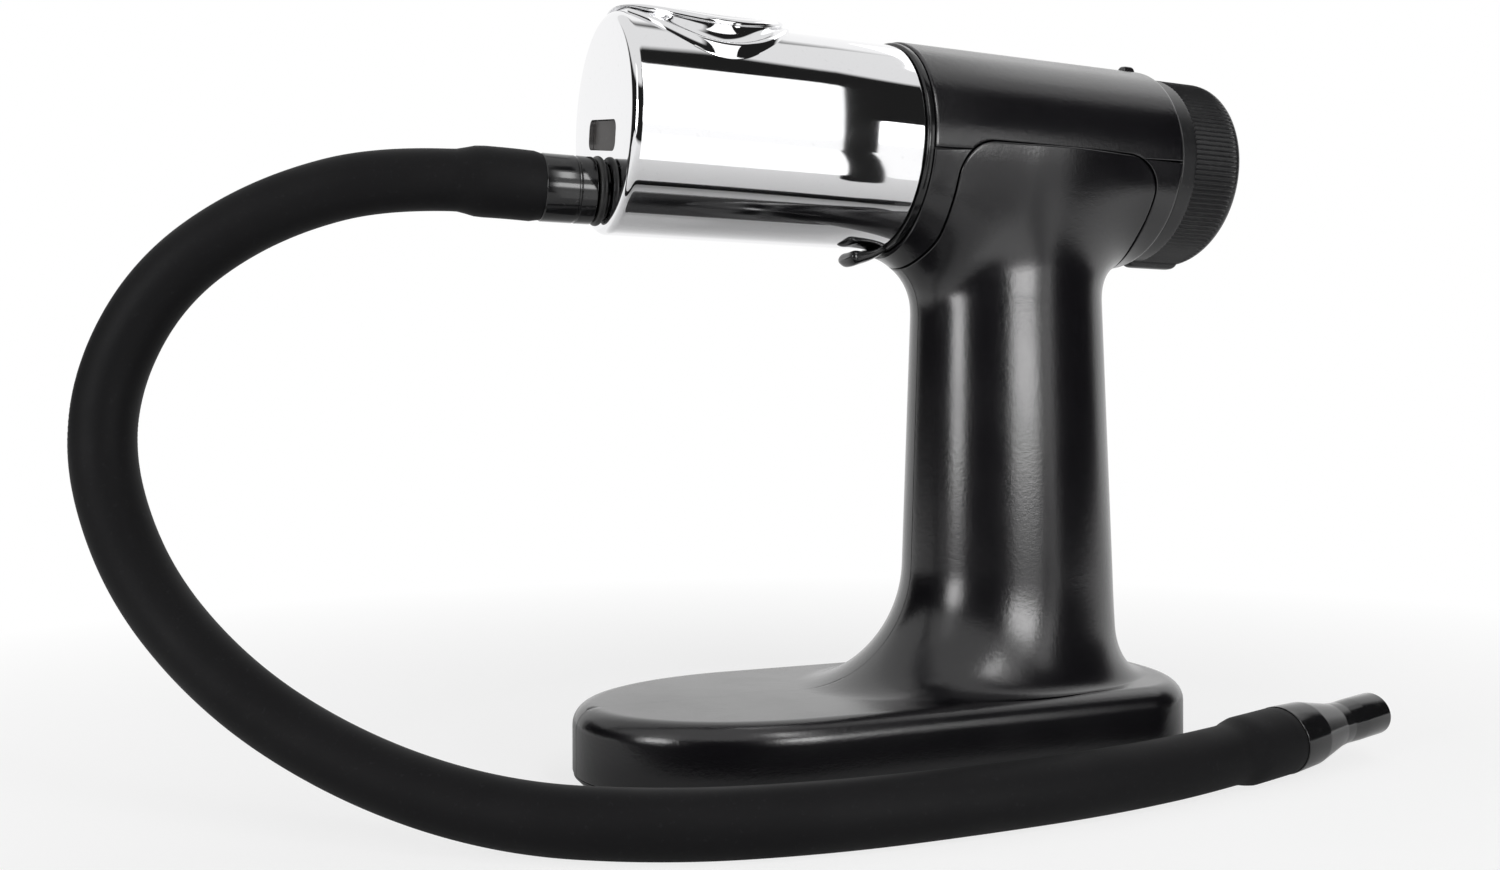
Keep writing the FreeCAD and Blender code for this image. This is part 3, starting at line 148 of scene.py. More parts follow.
DUST_CELLS = 900.0
SMUDGE_CELLS = 38.0
FINE_CELLS = 2600.0
COARSE_CELLS = 900.0


def finish(name, colour, pale, rough, rough_span, metal=0.0, specular=0.5, grain=0.0):
    """A surface that goes from its colour towards a paler one where dust lies, with a roughness that shifts
    by rough_span where it was handled, and with the moulding tool's grain, in millimetres, as a bump. Dust,
    smudges and grain have their own counts of noise cells in a metre."""
    material = bpy.data.materials.new(name)
    material.use_nodes = True
    tree = material.node_tree
    shader = tree.nodes["Principled BSDF"]
    marks = placed(tree, handling, Colour=(*colour, 1.0), Dust_Colour=(*pale, 1.0), Dust_Scale=DUST_CELLS,
                   Roughness=rough, Smudge_Shift=rough_span, Smudge_Scale=SMUDGE_CELLS)
    tree.links.new(marks["Colour"], shader.inputs["Base Color"])
    tree.links.new(marks["Roughness"], shader.inputs["Roughness"])
    shader.inputs["Metallic"].default_value = metal
    shader.inputs["Specular IOR Level"].default_value = specular
    if grain:
        pits = placed(tree, tool_grain, Fine_Scale=FINE_CELLS, Coarse_Scale=COARSE_CELLS)
        bump = tree.nodes.new("ShaderNodeBump")
        bump.inputs["Strength"].default_value = 1.0
        bump.inputs["Distance"].default_value = grain * MM
        tree.links.new(pits["Height"], bump.inputs["Height"])
        tree.links.new(bump.outputs["Normal"], shader.inputs["Normal"])
    return material


SHARP_EDGE = 38.0


def piece(name, points, faces, body, material, slot, closed=True, flip=False, sharp=SHARP_EDGE):
    """A mesh object from points in millimetres and rows of corner numbers. Equal points are merged, so that
    seams and poles close. A closed form has its faces turned outwards, and an open one can be flipped.
    Edges over an angle of sharp degrees stay hard."""
    mesh = bpy.data.meshes.new(name)
    mesh.from_pydata((np.asarray(points) * MM).tolist(), [], np.asarray(faces).tolist())
    form = bmesh.new()
    form.from_mesh(mesh)
    bmesh.ops.remove_doubles(form, verts=form.verts, dist=2e-6)
    bmesh.ops.dissolve_degenerate(form, dist=1e-7, edges=form.edges)
    if closed:
        bmesh.ops.recalc_face_normals(form, faces=form.faces)
    elif flip:
        bmesh.ops.reverse_faces(form, faces=form.faces)
    form.to_mesh(mesh)
    form.free()
    mesh.shade_smooth()
    mesh.set_sharp_from_angle(angle=math.radians(sharp))
    thing = bpy.data.objects.new(name, mesh)
    bpy.context.scene.collection.objects.link(thing)
    mesh.materials.append(material)
    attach(thing, body)
    return thing


def quads(rows, columns, around=False, start=0):
    """Corner numbers of the faces of a grid whose points are counted row by row."""
    number = start + np.arange(rows * columns).reshape(rows, columns)
    if around:
        number = np.c_[number, number[:, :1]]
    corners = (number[:-1, :-1], number[:-1, 1:], number[1:, 1:], number[1:, :-1])
    return np.stack(corners, axis=-1).reshape(-1, 4)


def skin(name, grid, body, material, slot, around=False, **settings):
    """A piece from a grid of points (rows, columns, 3), joined round its columns if they close."""
    grid = np.asarray(grid)
    rows, columns = grid.shape[:2]
    return piece(name, grid.reshape(-1, 3), quads(rows, columns, around), body, material, slot, **settings)


def smooth(value):
    """A step from 0 to 1 with level ends: 3t squared less 2t cubed, with t held between 0 and 1."""
    t = np.clip(value, 0.0, 1.0)
    return t * t * (3.0 - 2.0 * t)


HOSE_RADIUS = 7.0
SLEEVE_RADIUS = 8.1
SLEEVE_LENGTH = 14.0
SLEEVE_TAPER = 6.0
END_ROUND = 0.5
END_ROUND_RUN = 0.8
END_RIM = 6.4
BARB_RADIUS = 6.0
CLEARANCE = 0.1
SOCKET = 12.0
SOCKET_MOUTH = 7.5
SOCKET_TAPER = 0.9
HOSE_COLUMNS = 56
HOSE_ROUTE = np.array((
    (-97.4, 0, 141), (-127.5, 0, 142.5), (-158.2, 10.1, 133.8), (-181.5, 20.8, 115.7), (-192.7, 23.8, 86),
    (-185.5, 15.7, 55.2), (-167.5, -0.3, 31.6), (-143.9, -20, 16.1), (-116.6, -40.8, 7.6), (-87.4, -58, 7),
    (-54.4, -64.9, 7), (-19.9, -66.3, 7.2), (14.6, -65.1, 7.2), (49.3, -59.9, 7.6), (83, -53, 9.2)))
line = bpy.data.curves.new("hose_line", "CURVE")
line.dimensions = "3D"
line.resolution_u = 24
spline = line.splines.new("NURBS")
spline.points.add(len(HOSE_ROUTE) - 1)
spline.points.foreach_set("co", np.c_[HOSE_ROUTE * MM, np.ones(len(HOSE_ROUTE))].ravel())
spline.order_u = 3
spline.use_endpoint_u = True
guide = bpy.data.objects.new("hose_line", line)
bpy.context.scene.collection.objects.link(guide)
guide_mesh = bpy.data.meshes.new_from_object(guide)
hose_path = np.empty(3 * len(guide_mesh.vertices))
guide_mesh.vertices.foreach_get("co", hose_path)
hose_path = hose_path.reshape(-1, 3) / MM
bpy.data.objects.remove(guide)
bpy.data.meshes.remove(guide_mesh)


def along(path):
    """The distance run at each point of a path."""
    return np.r_[0.0, np.cumsum(np.linalg.norm(np.diff(path, axis=0), axis=1))]


def headings(path):
    """Unit directions of a path at its points."""
    way = np.gradient(path, axis=0)
    return way / np.linalg.norm(way, axis=1)[:, None]


def tube(path, radii, columns):
    """Rings round a path: circles of the given radii, square to the path's heading, with level side axes."""
    way = headings(path)
    side = np.cross(way, upright)
    side /= np.linalg.norm(side, axis=1)[:, None]
    over = np.cross(side, way)
    turn = np.linspace(0.0, 2.0 * math.pi, columns, endpoint=False)
    ring = np.cos(turn)[None, :, None] * side[:, None] + np.sin(turn)[None, :, None] * over[:, None]
    return path[:, None] + np.asarray(radii)[:, None, None] * ring


silicone = finish(
    "hose_silicone", (0.0028, 0.0027, 0.0033), (0.008, 0.008, 0.009), 0.58, 0.1, specular=0.17, grain=0.012)
run = along(hose_path)
to_end = np.minimum(run, np.abs(run[-1] - SOCKET - run))
hose_radii = SLEEVE_RADIUS - (SLEEVE_RADIUS - HOSE_RADIUS) * smooth((to_end - SLEEVE_LENGTH) / SLEEVE_TAPER)
hose_radii -= END_ROUND * np.clip(1.0 - to_end / END_ROUND_RUN, 0.0, 1.0) ** 2
in_socket = np.clip((run - run[-1] + SOCKET) / SOCKET, 0.0, 1.0)
hose_radii = np.where(in_socket > 0.0, SOCKET_MOUTH - SOCKET_TAPER * in_socket, hose_radii)
hose_rings = tube(hose_path, hose_radii, HOSE_COLUMNS)
end_rims, end_bores = (tube(hose_path, np.full(len(hose_path), radius), HOSE_COLUMNS)[[0, -1]]
                       for radius in (END_RIM, BARB_RADIUS + CLEARANCE))
hose_grid = np.concatenate((end_bores[:1], end_rims[:1], hose_rings, end_rims[1:], end_bores[1:]))
hose = skin("hose", hose_grid, "barrel", silicone, "silicone", around=True)
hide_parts("smoke_hose")


# The smoke barrel is drawn and polished metal with a mirror chrome plate. A collar for the bowl is drawn up
# out of its top: a short neck with a rolled lip, on a flange that hugs the barrel. Its rim dips at the sides.
def rounded_profile(corners, steps=6):
    """A line through corners (along, out, radius), with each corner replaced by an arc tangent to its runs."""
    corners = np.array(corners, float)
    points = [corners[:1, :2]]
    share = np.linspace(0.0, 1.0, steps + 1)[:, None]
    for before, here, after in zip(corners[:-2], corners[1:-1], corners[2:]):
        back = (before - here)[:2] / np.linalg.norm((before - here)[:2])
        on = (after - here)[:2] / np.linalg.norm((after - here)[:2])
        half = math.acos(np.clip(back @ on, -1.0, 1.0)) / 2.0
        if here[2] == 0.0 or math.pi / 2.0 - half < 1e-4:
            points.append(here[None, :2])
            continue
        middle = here[:2] + (back + on) / np.linalg.norm(back + on) * here[2] / math.sin(half)
        first = here[:2] + back * here[2] / math.tan(half) - middle
        last = here[:2] + on * here[2] / math.tan(half) - middle
        swept = math.pi - 2.0 * half
        bow = np.sin((1.0 - share) * swept) * first + np.sin(share * swept) * last
        points.append(middle + bow / math.sin(swept))
    points.append(corners[-1:, :2])
    return np.vstack(points)


barrel_low, barrel_high = (np.array(corner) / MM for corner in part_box("smoke_barrel"))
MUZZLE_X = barrel_low[0]
BARREL_RADIUS = (barrel_high[1] - barrel_low[1]) / 2.0
AXIS_Z = barrel_low[2] + BARREL_RADIUS
NOSE_ROUND = 2.2
BARREL_LENGTH = 73.1
SPIGOT_RADIUS = 22.9
SPIGOT_WALL = 1.9
SPIGOT_END = 82.0


def about_gun_line(back, out, turns):
    """Points round the gun line: a distance behind the muzzle, a radius, and an angle from the top towards -Y."""
    y = -out * np.sin(turns)
    return np.stack((np.broadcast_to(MUZZLE_X + back, y.shape), y, AXIS_Z + out * np.cos(turns)), axis=-1)


def spun(profile, turns):
    """Rings round the gun line: a profile of (along, out) pairs turned by angles."""
    profile = np.asarray(profile)
    return about_gun_line(profile[:, 0, None], profile[:, 1, None], turns)


def full_turn(count):
    """Angles of a full turn without its end."""
    return np.linspace(0.0, 2.0 * math.pi, count, endpoint=False)


BOWL_ALONG = 23.5
RIM_HEIGHT = 27.3
SADDLE_RADIUS = 41.9
LIP_RADIUS = 21.6
COLLAR_BORE = 17.3
REBATE_RADIUS = 18.9
REBATE_DEPTH = 1.5
RIM_CHAMFER = 0.25
BORE_END = 4.0
LIP_ROUND = 0.65
LIP_HEIGHT = 1.5
LIP_SHARE = 0.75
FLANGE_EDGE = 23.1
FLANGE_STEP = 0.9
FLANGE_THICK = 0.7
SIDE_THICK = 0.6
NOSE_TRIM = 2.35
NOSE_SECTOR = 0.85
SIDE_STEPS = 64
PATCH_FRONT = 2.7
PATCH_BACK = 50.0
PATCH_TURN = math.radians(80.0)


def about_bowl(out, turns, up):
    """Points round the bowl's upright axis: a plan radius, an angle from the rear, and a height over the gun line."""
    return np.stack((MUZZLE_X + BOWL_ALONG + out * np.cos(turns), -out * np.sin(turns), AXIS_Z + up), axis=-1)


def rim_at(y):
    """Height of the rim's saddle above the gun line: a lying cylinder's top at a distance y from the middle."""
    return RIM_HEIGHT - SADDLE_RADIUS + np.sqrt(SADDLE_RADIUS ** 2 - y ** 2)


def collar_rows(turn):
    """Rings of the collar from its bore to its foot, as (out, height) at plan angles counted from the rear.
    The lip is a half round. Under it the neck is a cubic that starts upright and runs out along a flange. The
    flange hugs the barrel, is thickest at the sides, is trimmed towards the nose and ends in a quarter round.
    The lip's height and the neck's depth grow with the room between the rim and the flange."""
    side = np.sin(turn)
    rim = rim_at(LIP_RADIUS * side)
    thick = FLANGE_THICK + SIDE_THICK * side ** 2

    def flange_at(out):
        return np.sqrt((BARREL_RADIUS + thick) ** 2 - (out * side) ** 2)

    foot = FLANGE_EDGE - NOSE_TRIM * smooth((-np.cos(turn) - NOSE_SECTOR) / (1.0 - NOSE_SECTOR))
    root = foot - FLANGE_STEP
    room = rim - flange_at(root)
    lip = np.minimum(LIP_SHARE * room, LIP_HEIGHT)
    gap = room - lip
    rows = [(np.full_like(turn, COLLAR_BORE), np.full_like(turn, BORE_END))]
    for out, drop in ((COLLAR_BORE, REBATE_DEPTH), (REBATE_RADIUS, REBATE_DEPTH), (REBATE_RADIUS, RIM_CHAMFER),
                      (REBATE_RADIUS + RIM_CHAMFER, 0.0)):
        rows.append((np.full_like(turn, out), rim_at(out * side) - drop))
    for bend in np.linspace(math.pi / 2.0, -math.pi / 2.0, 15):
        out = LIP_RADIUS - LIP_ROUND + LIP_ROUND * math.cos(bend)
        rows.append((np.full_like(turn, out), rim_at(out * side) - lip / 2.0 * (1.0 - math.sin(bend))))
    fall = root * side ** 2 / flange_at(root)
    lead = np.minimum(0.2 * gap, 1.2)
    under = rim_at((LIP_RADIUS - LIP_ROUND) * side) - lip
    ends = ((LIP_RADIUS - LIP_ROUND, under), (LIP_RADIUS - LIP_ROUND - 0.06 * gap, under - 0.35 * gap),
            (root - lead, flange_at(root) + lead * fall), (root, flange_at(root)))
    for t in np.linspace(0.0, 1.0, 17)[1:]:
        weights = ((1 - t) ** 3, 3 * t * (1 - t) ** 2, 3 * t * t * (1 - t), t ** 3)
        rows.append(tuple(sum(w * end[axis] for w, end in zip(weights, ends)) for axis in (0, 1)))
    foot_z = np.sqrt(BARREL_RADIUS ** 2 - (foot * side) ** 2)
    inner = np.maximum(foot - 0.7 * thick, root + 0.02)
    for share in np.linspace(0.0, 1.0, 9)[1:]:
        out = root + share * (inner - root)
        rows.append((out, flange_at(out)))
    drop = flange_at(inner) - foot_z
    for bend in np.linspace(0.0, math.pi / 2.0, 8)[1:]:
        rows.append((inner + (foot - inner) * math.sin(bend), foot_z + drop * (0.12 + 0.88 * math.cos(bend))))
    rows.append((foot, foot_z))
    return np.array([row[0] for row in rows]), np.array([row[1] for row in rows])


collar_turn = np.linspace(-math.pi / 4.0, 7.0 * math.pi / 4.0, 4 * SIDE_STEPS, endpoint=False)
collar_out, collar_up = collar_rows(collar_turn)
collar = about_bowl(collar_out, collar_turn, collar_up)
step = np.linspace(0.0, 1.0, SIDE_STEPS, endpoint=False)
edge_x = np.r_[np.full(SIDE_STEPS, PATCH_BACK), PATCH_BACK + (PATCH_FRONT - PATCH_BACK) * step,
               np.full(SIDE_STEPS, PATCH_FRONT), PATCH_FRONT + (PATCH_BACK - PATCH_FRONT) * step]
edge_turn = PATCH_TURN * np.r_[2 * step - 1, np.ones(SIDE_STEPS), 1 - 2 * step, -np.ones(SIDE_STEPS)]
foot_x = BOWL_ALONG + collar_out[-1] * np.cos(collar_turn)
foot_turn = np.arcsin(collar_out[-1] * np.sin(collar_turn) / BARREL_RADIUS)
spread = np.linspace(0.0, 1.0, 25)[1:, None]
patch_x = foot_x + spread * (edge_x - foot_x)
patch_turn = foot_turn + spread * (edge_turn - foot_turn)
patch = about_gun_line(patch_x, BARREL_RADIUS, patch_turn)
crown = np.concatenate((collar, patch))
belly_turn = np.linspace(PATCH_TURN, 2.0 * math.pi - PATCH_TURN, 81)
belly_along = PATCH_FRONT + (PATCH_BACK - PATCH_FRONT) * np.linspace(0.0, 1.0, SIDE_STEPS + 1)
belly = spun(np.c_[belly_along, np.full(SIDE_STEPS + 1, BARREL_RADIUS)], belly_turn)
ring_turn = PATCH_TURN + np.radians(2.5) * np.arange(144)
tail = spun(rounded_profile((
    (PATCH_BACK, BARREL_RADIUS, 0), (BARREL_LENGTH, BARREL_RADIUS, 0.5), (BARREL_LENGTH, SPIGOT_RADIUS, 0.2),
    (SPIGOT_END, SPIGOT_RADIUS, 0.5), (SPIGOT_END, SPIGOT_RADIUS - SPIGOT_WALL, 0.5),
    (PATCH_BACK, SPIGOT_RADIUS - SPIGOT_WALL, 0))), ring_turn)
barrel_points = []
barrel_faces = []
for grid, around in ((crown, True), (belly, False), (tail, True)):
    barrel_faces.append(quads(grid.shape[0], grid.shape[1], around, sum(len(part) for part in barrel_points)))
    barrel_points.append(grid.reshape(-1, 3))
chrome = finish("mirror_chrome", (0.82, 0.82, 0.83), (0.78, 0.78, 0.79), 0.03, 0.03, metal=1.0)
barrel = piece("barrel", np.vstack(barrel_points), np.vstack(barrel_faces), "barrel", chrome, "barrel_chrome")
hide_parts("smoke_barrel")
FACE_WALL = 1.6
face_profile = rounded_profile((
    (0, 0, 0), (0, 12, 0), (0, BARREL_RADIUS, NOSE_ROUND), (NOSE_ROUND, BARREL_RADIUS, 0),
    (PATCH_FRONT, BARREL_RADIUS, 0), (PATCH_FRONT, BARREL_RADIUS - FACE_WALL, 0),
    (FACE_WALL, BARREL_RADIUS - FACE_WALL, 0.6), (FACE_WALL, 0, 0)), 12)
barrel_face = skin("barrel_face", spun(face_profile, ring_turn), "barrel", chrome, "barrel_chrome", around=True)


def prism(name, outline, start, end, axis=0):
    """A closed bar along an axis through an outline in the other two, as a tool for cutting."""
    count = len(outline)
    points = np.concatenate([np.insert(outline, axis, place, axis=1) for place in (start, end)]) * MM
    sides = quads(2, count, around=True)
    mesh = bpy.data.meshes.new(name)
    ends = [list(range(count)), list(range(2 * count - 1, count - 1, -1))]
    mesh.from_pydata(points.tolist(), [], sides.tolist() + ends)
    form = bmesh.new()
    form.from_mesh(mesh)
    bmesh.ops.recalc_face_normals(form, faces=form.faces)
    form.to_mesh(mesh)
    form.free()
    tool = bpy.data.objects.new(name, mesh)
    bpy.context.scene.collection.objects.link(tool)
    return tool


def cut_out(thing, tools):
    """Take tools away from a closed piece, and keep the result as its mesh."""
    for tool in tools:
        cutter = thing.modifiers.new("cut", "BOOLEAN")
        cutter.operation = "DIFFERENCE"
        cutter.solver = "EXACT"
        cutter.object = tool
    done = bpy.data.meshes.new_from_object(thing.evaluated_get(bpy.context.evaluated_depsgraph_get()))
    thing.modifiers.clear()
    thing.data = done
    done.name = thing.name
    done.set_sharp_from_angle(angle=math.radians(SHARP_EDGE))
    for tool in tools:
        bpy.data.objects.remove(tool)


SLOT_WIDTH = 23.0
SLOT_HEIGHT = 7.2
SLOT_DROP = 2.6
SLOT_ROUND = 2.2
SLOT_TILT = math.radians(12.0)
PORT_DROP = 16.0
PORT_RADIUS = 7.0
lower_slot = rounded_profile((
    (-SLOT_WIDTH / 2, 0, 0), (-SLOT_WIDTH / 2, -SLOT_HEIGHT / 2, SLOT_ROUND),
    (SLOT_WIDTH / 2, -SLOT_HEIGHT / 2, SLOT_ROUND), (SLOT_WIDTH / 2, 0, 0)))
slot_line = np.vstack((lower_slot, -lower_slot))
slot_line = np.c_[slot_line[:, 0] * math.cos(SLOT_TILT) - slot_line[:, 1] * math.sin(SLOT_TILT),
                  slot_line[:, 0] * math.sin(SLOT_TILT) + slot_line[:, 1] * math.cos(SLOT_TILT) + AXIS_Z - SLOT_DROP]
slot_line = slot_line[np.r_[True, np.linalg.norm(np.diff(slot_line, axis=0), axis=1) > 0.01]]
port_turn = full_turn(64)
port_line = np.c_[PORT_RADIUS * np.cos(port_turn), AXIS_Z - PORT_DROP + PORT_RADIUS * np.sin(port_turn)]
cut_out(barrel_face, [prism("slot_tool", slot_line, MUZZLE_X - 3.0, MUZZLE_X + 4.0),
                      prism("port_tool", port_line, MUZZLE_X - 3.0, MUZZLE_X + 4.0)])


# The slot's insert is a dark grey moulding, pushed in behind the barrel's face. Its solid stays and only
# takes its finish here.
def dress(material, *names):
    """Give CAD nodes a material in place of the one that they came with."""
    for name in names:
        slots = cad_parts[name].data.materials
        slots.clear()
        slots.append(material)


insert_grey = finish("insert_grey", (0.05, 0.045, 0.043), (0.09, 0.085, 0.08), 0.45, 0.1, grain=0.01)
dress(insert_grey, "slot_insert")

# The burn bowl is a deep drawn cup with the same plate. It drops into the collar and hangs by its flange,
# whose top follows the collar's dipping rim. A perforated steel disc lies on its floor under the wood chips.
BOWL_RADIUS = 16.9
BOWL_WALL = 1.5
BOWL_FLOOR = 5.0
FLOOR_THICK = 1.6
DRAUGHT_HOLE = 8.0
FLANGE_RADIUS = 18.6
FLANGE_DEPTH = 1.2
DIP_FROM = 12.0
DIP_OVER = 8.0
bowl_profile = rounded_profile((
    (DRAUGHT_HOLE, BOWL_FLOOR, 0), (BOWL_RADIUS, BOWL_FLOOR, 1.2), (BOWL_RADIUS, RIM_HEIGHT - FLANGE_DEPTH, 0.2),
    (FLANGE_RADIUS, RIM_HEIGHT - FLANGE_DEPTH, 0.3), (FLANGE_RADIUS, RIM_HEIGHT, 0.4),
    (BOWL_RADIUS - BOWL_WALL, RIM_HEIGHT, 1.0), (BOWL_RADIUS - BOWL_WALL, BOWL_FLOOR + FLOOR_THICK, 1.5),
    (DRAUGHT_HOLE, BOWL_FLOOR + FLOOR_THICK, 0), (DRAUGHT_HOLE, BOWL_FLOOR, 0)))
bowl_turn = full_turn(160)
bowl_out = bowl_profile[:, 0, None]
follow = smooth((bowl_profile[:, 1, None] - DIP_FROM) / DIP_OVER)
bowl_up = bowl_profile[:, 1, None] + follow * (rim_at(bowl_out * np.sin(bowl_turn)) - RIM_HEIGHT)
bowl = skin("bowl", about_bowl(bowl_out, bowl_turn, bowl_up), "bowl", chrome, "barrel_chrome", around=True)
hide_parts("burn_bowl")
screen_steel = finish("screen_steel", (0.42, 0.41, 0.4), (0.3, 0.28, 0.26), 0.3, 0.12, metal=1.0)
dress(screen_steel, "bowl_screen")

# The hose adapter is turned from gloss black plastic, with a barb inside the hose and a plain body. It plugs
# into the port in the barrel's face, where a rubber O-ring in a groove seals it.
gloss_black = finish("gloss_black", (0.006, 0.006, 0.0065), (0.03, 0.03, 0.03), 0.1, 0.06, specular=0.5)
ADAPTER_START = -15.05
BARB_LENGTH = 12.0
ADAPTER_BORE = 5.2
ADAPTER_RADIUS = 7.9
LINE_RADIUS = 7.6
GROOVE_RADIUS = 6.2
GROOVE_START = -2.95
GROOVE_END = -0.15
PLUG_RADIUS = PORT_RADIUS - 0.15
PLUG_END = 6.0
barb_tip = ADAPTER_START - BARB_LENGTH
adapter_profile = rounded_profile((
    (barb_tip, ADAPTER_BORE, 0), (barb_tip, BARB_RADIUS - CLEARANCE, 0.3), (ADAPTER_START, BARB_RADIUS - CLEARANCE, 0),
    (ADAPTER_START, ADAPTER_RADIUS, 0.45), (-7.4, ADAPTER_RADIUS, 0.15), (-7.2, LINE_RADIUS, 0.1),
    (-6.8, LINE_RADIUS, 0.1), (-6.6, ADAPTER_RADIUS, 0.15), (GROOVE_START, ADAPTER_RADIUS, 0.3),
    (GROOVE_START, GROOVE_RADIUS, 0), (GROOVE_END, GROOVE_RADIUS, 0), (GROOVE_END, PLUG_RADIUS, 0),
    (PLUG_END, PLUG_RADIUS, 0), (PLUG_END, ADAPTER_BORE, 0), (barb_tip, ADAPTER_BORE, 0)))


def port_rings(profile, columns=72):
    """A profile of (along, out) pairs turned about the hose port's line."""
    rings = spun(profile, full_turn(columns))
    rings[..., 2] -= PORT_DROP
    return rings


adapter = skin("adapter", port_rings(adapter_profile), "barrel", gloss_black, "gloss_black", around=True)
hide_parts("hose_adapter")
seal_rubber = finish("seal_rubber", (0.008, 0.008, 0.008), (0.03, 0.03, 0.03), 0.42, 0.1)
SEAL_ALONG = -1.5
SEAL_RADIUS = 7.25
SEAL_HALF = 0.95
bead = np.r_[full_turn(24), 0]
seal_line = np.c_[SEAL_ALONG + SEAL_HALF * np.cos(bead), SEAL_RADIUS + SEAL_HALF * np.sin(bead)]
o_ring = skin("o_ring", port_rings(seal_line), "barrel", seal_rubber, "seal_rubber", around=True)
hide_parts("adapter_o_ring")

# The nozzle is a mouthpiece moulded in gloss black plastic: a tapered socket over the hose's far end, with a
# barb inside it, then a waist and a plain open tip. The hose is pushed on and holds by its stretch.
NOZZLE_BORE = 3.6
NOZZLE_LENGTH = 28.0
SOCKET_FLOOR = 0.05
SOCKET_CLEAR = 0.15
tip_start = hose_path[-1]
tip_way = headings(hose_path)[-1]
nozzle_profile = rounded_profile((
    (-SOCKET, NOZZLE_BORE, 0), (-SOCKET, BARB_RADIUS - CLEARANCE, 0.3), (SOCKET_FLOOR, BARB_RADIUS - CLEARANCE, 0),
    (SOCKET_FLOOR, SOCKET_MOUTH - SOCKET_TAPER + SOCKET_CLEAR, 0), (-SOCKET, SOCKET_MOUTH + SOCKET_CLEAR, 0),
    (-SOCKET, SLEEVE_RADIUS + CLEARANCE, 0.25), (-2.5, 7.8, 6.0), (8.5, 5.6, 6.0), (12.5, 5.2, 4.0), (18.0, 5.35, 3.0),
    (NOZZLE_LENGTH, 5.3, 0.5), (NOZZLE_LENGTH, NOZZLE_BORE, 0.4), (-SOCKET, NOZZLE_BORE, 0)))
nozzle_path = tip_start + nozzle_profile[:, :1] * tip_way
side_way = np.cross(tip_way, upright)
side_way /= np.linalg.norm(side_way)
over_way = np.cross(side_way, tip_way)
nozzle_turn = full_turn(72)[None, :, None]
nozzle_ring = np.cos(nozzle_turn) * side_way + np.sin(nozzle_turn) * over_way
nozzle_grid = nozzle_path[:, None] + nozzle_profile[:, 1, None, None] * nozzle_ring
nozzle = skin("nozzle", nozzle_grid, "barrel", gloss_black, "gloss_black", around=True)
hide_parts("hose_nozzle")

# The front ring is a thin moulding in gloss black plastic. It is pressed into the housing's front edge, which
# it closes, and its bore carries the barrel's spigot.
RING_FRONT = 73.4
RING_BACK = 75.2
RING_TAIL = 82.5
RING_BORE = 23.4
RING_EDGE = 26.6
TAIL_RADIUS = 24.5
ring_profile = rounded_profile((
    (RING_FRONT, RING_BORE, 0), (RING_FRONT, RING_EDGE, 0.5), (RING_BACK, RING_EDGE, 0.2), (RING_BACK, TAIL_RADIUS, 0),
    (RING_TAIL, TAIL_RADIUS, 0), (RING_TAIL, RING_BORE, 0), (RING_FRONT, RING_BORE, 0)))
front_ring = skin("ring", spun(ring_profile, full_turn(160)), "stand", gloss_black, "gloss_black", around=True)
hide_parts("front_ring")

# The handle, its foot and the housing's side panels are two halves of satin black plastic with a fine tool
# grain. They meet on the middle plane and are screwed together from the far side.
satin_black = finish(
    "satin_black", (0.0040, 0.0037, 0.0047), (0.010, 0.0095, 0.0115), 0.19, 0.05, specular=0.68, grain=0.025)
HANDLE_X = 30.2
# WAIST and ANKLE give a height, and the handle's half length and half width there.
WAIST = (119.0, 27.0, 21.0)
ANKLE = (53.0, 29.4, 23.3)
FOOT_FRONT = -89.3
FOOT_REAR = 75.1
FOOT_HALF = 35.7
FOOT_NOSE = 50.0
FOOT_HEEL = 25.0
FOOT_TOP = 18.9
FOOT_ROUND = 5.0
WALL_LOW = 2.8
FRONT_FLARE = 30.0
REAR_FLARE = 9.2
REAR_RISE = 13.0
SIDE_FLARE = 8.0
SIDE_RISE = 27.0
HOUSING_RADIUS = 27.0
TOP_SHORT = 0.8
BLEND_WIDTH = 12.0
FRONT_WIDENING = 6.0
WIDENING_FROM = 20.0
WIDENING_OVER = 22.0
HALF_COLUMNS = 161


def oval(height):
    """Half length and half width of the handle's oval at a height: a straight taper from ankle to waist,
    and above the waist a widening with the square of the climb towards the gun line."""
    share = np.minimum((height - ANKLE[0]) / (WAIST[0] - ANKLE[0]), 1.0)
    half_length = ANKLE[1] + share * (WAIST[1] - ANKLE[1])
    climb = np.clip((height - WAIST[0]) / (AXIS_Z - WAIST[0]), 0.0, None)
    half_width = ANKLE[2] + share * (WAIST[2] - ANKLE[2]) + (HOUSING_RADIUS - WAIST[2] - TOP_SHORT) * climb ** 2
    return half_length, half_width


def flare(reach, tall, rise):
    """How far a quarter-oval flare, tall and with a given reach, stands out at a rise above its foot."""
    left = np.clip(1.0 - rise / tall, 0.0, 1.0)
    return reach * (1.0 - np.sqrt(1.0 - left ** 2))


def handle_ring(height, turn):
    """Points of the handle and its foot flares at heights (a column) and at turns from the front to the rear."""
    half_length, half_width = oval(height)
    rise = height - FOOT_TOP
    front = half_length + flare(FRONT_FLARE, FRONT_FLARE, rise)
    rear = half_length + flare(REAR_FLARE, REAR_RISE, rise)
    half_width = half_width + flare(SIDE_FLARE, SIDE_RISE, rise)
    middle = HANDLE_X + (rear - front) / 2.0
    x = middle - (front + rear) / 2.0 * np.cos(turn)
    return np.stack((x, -half_width * np.sin(turn), np.broadcast_to(height, x.shape)), axis=-1)


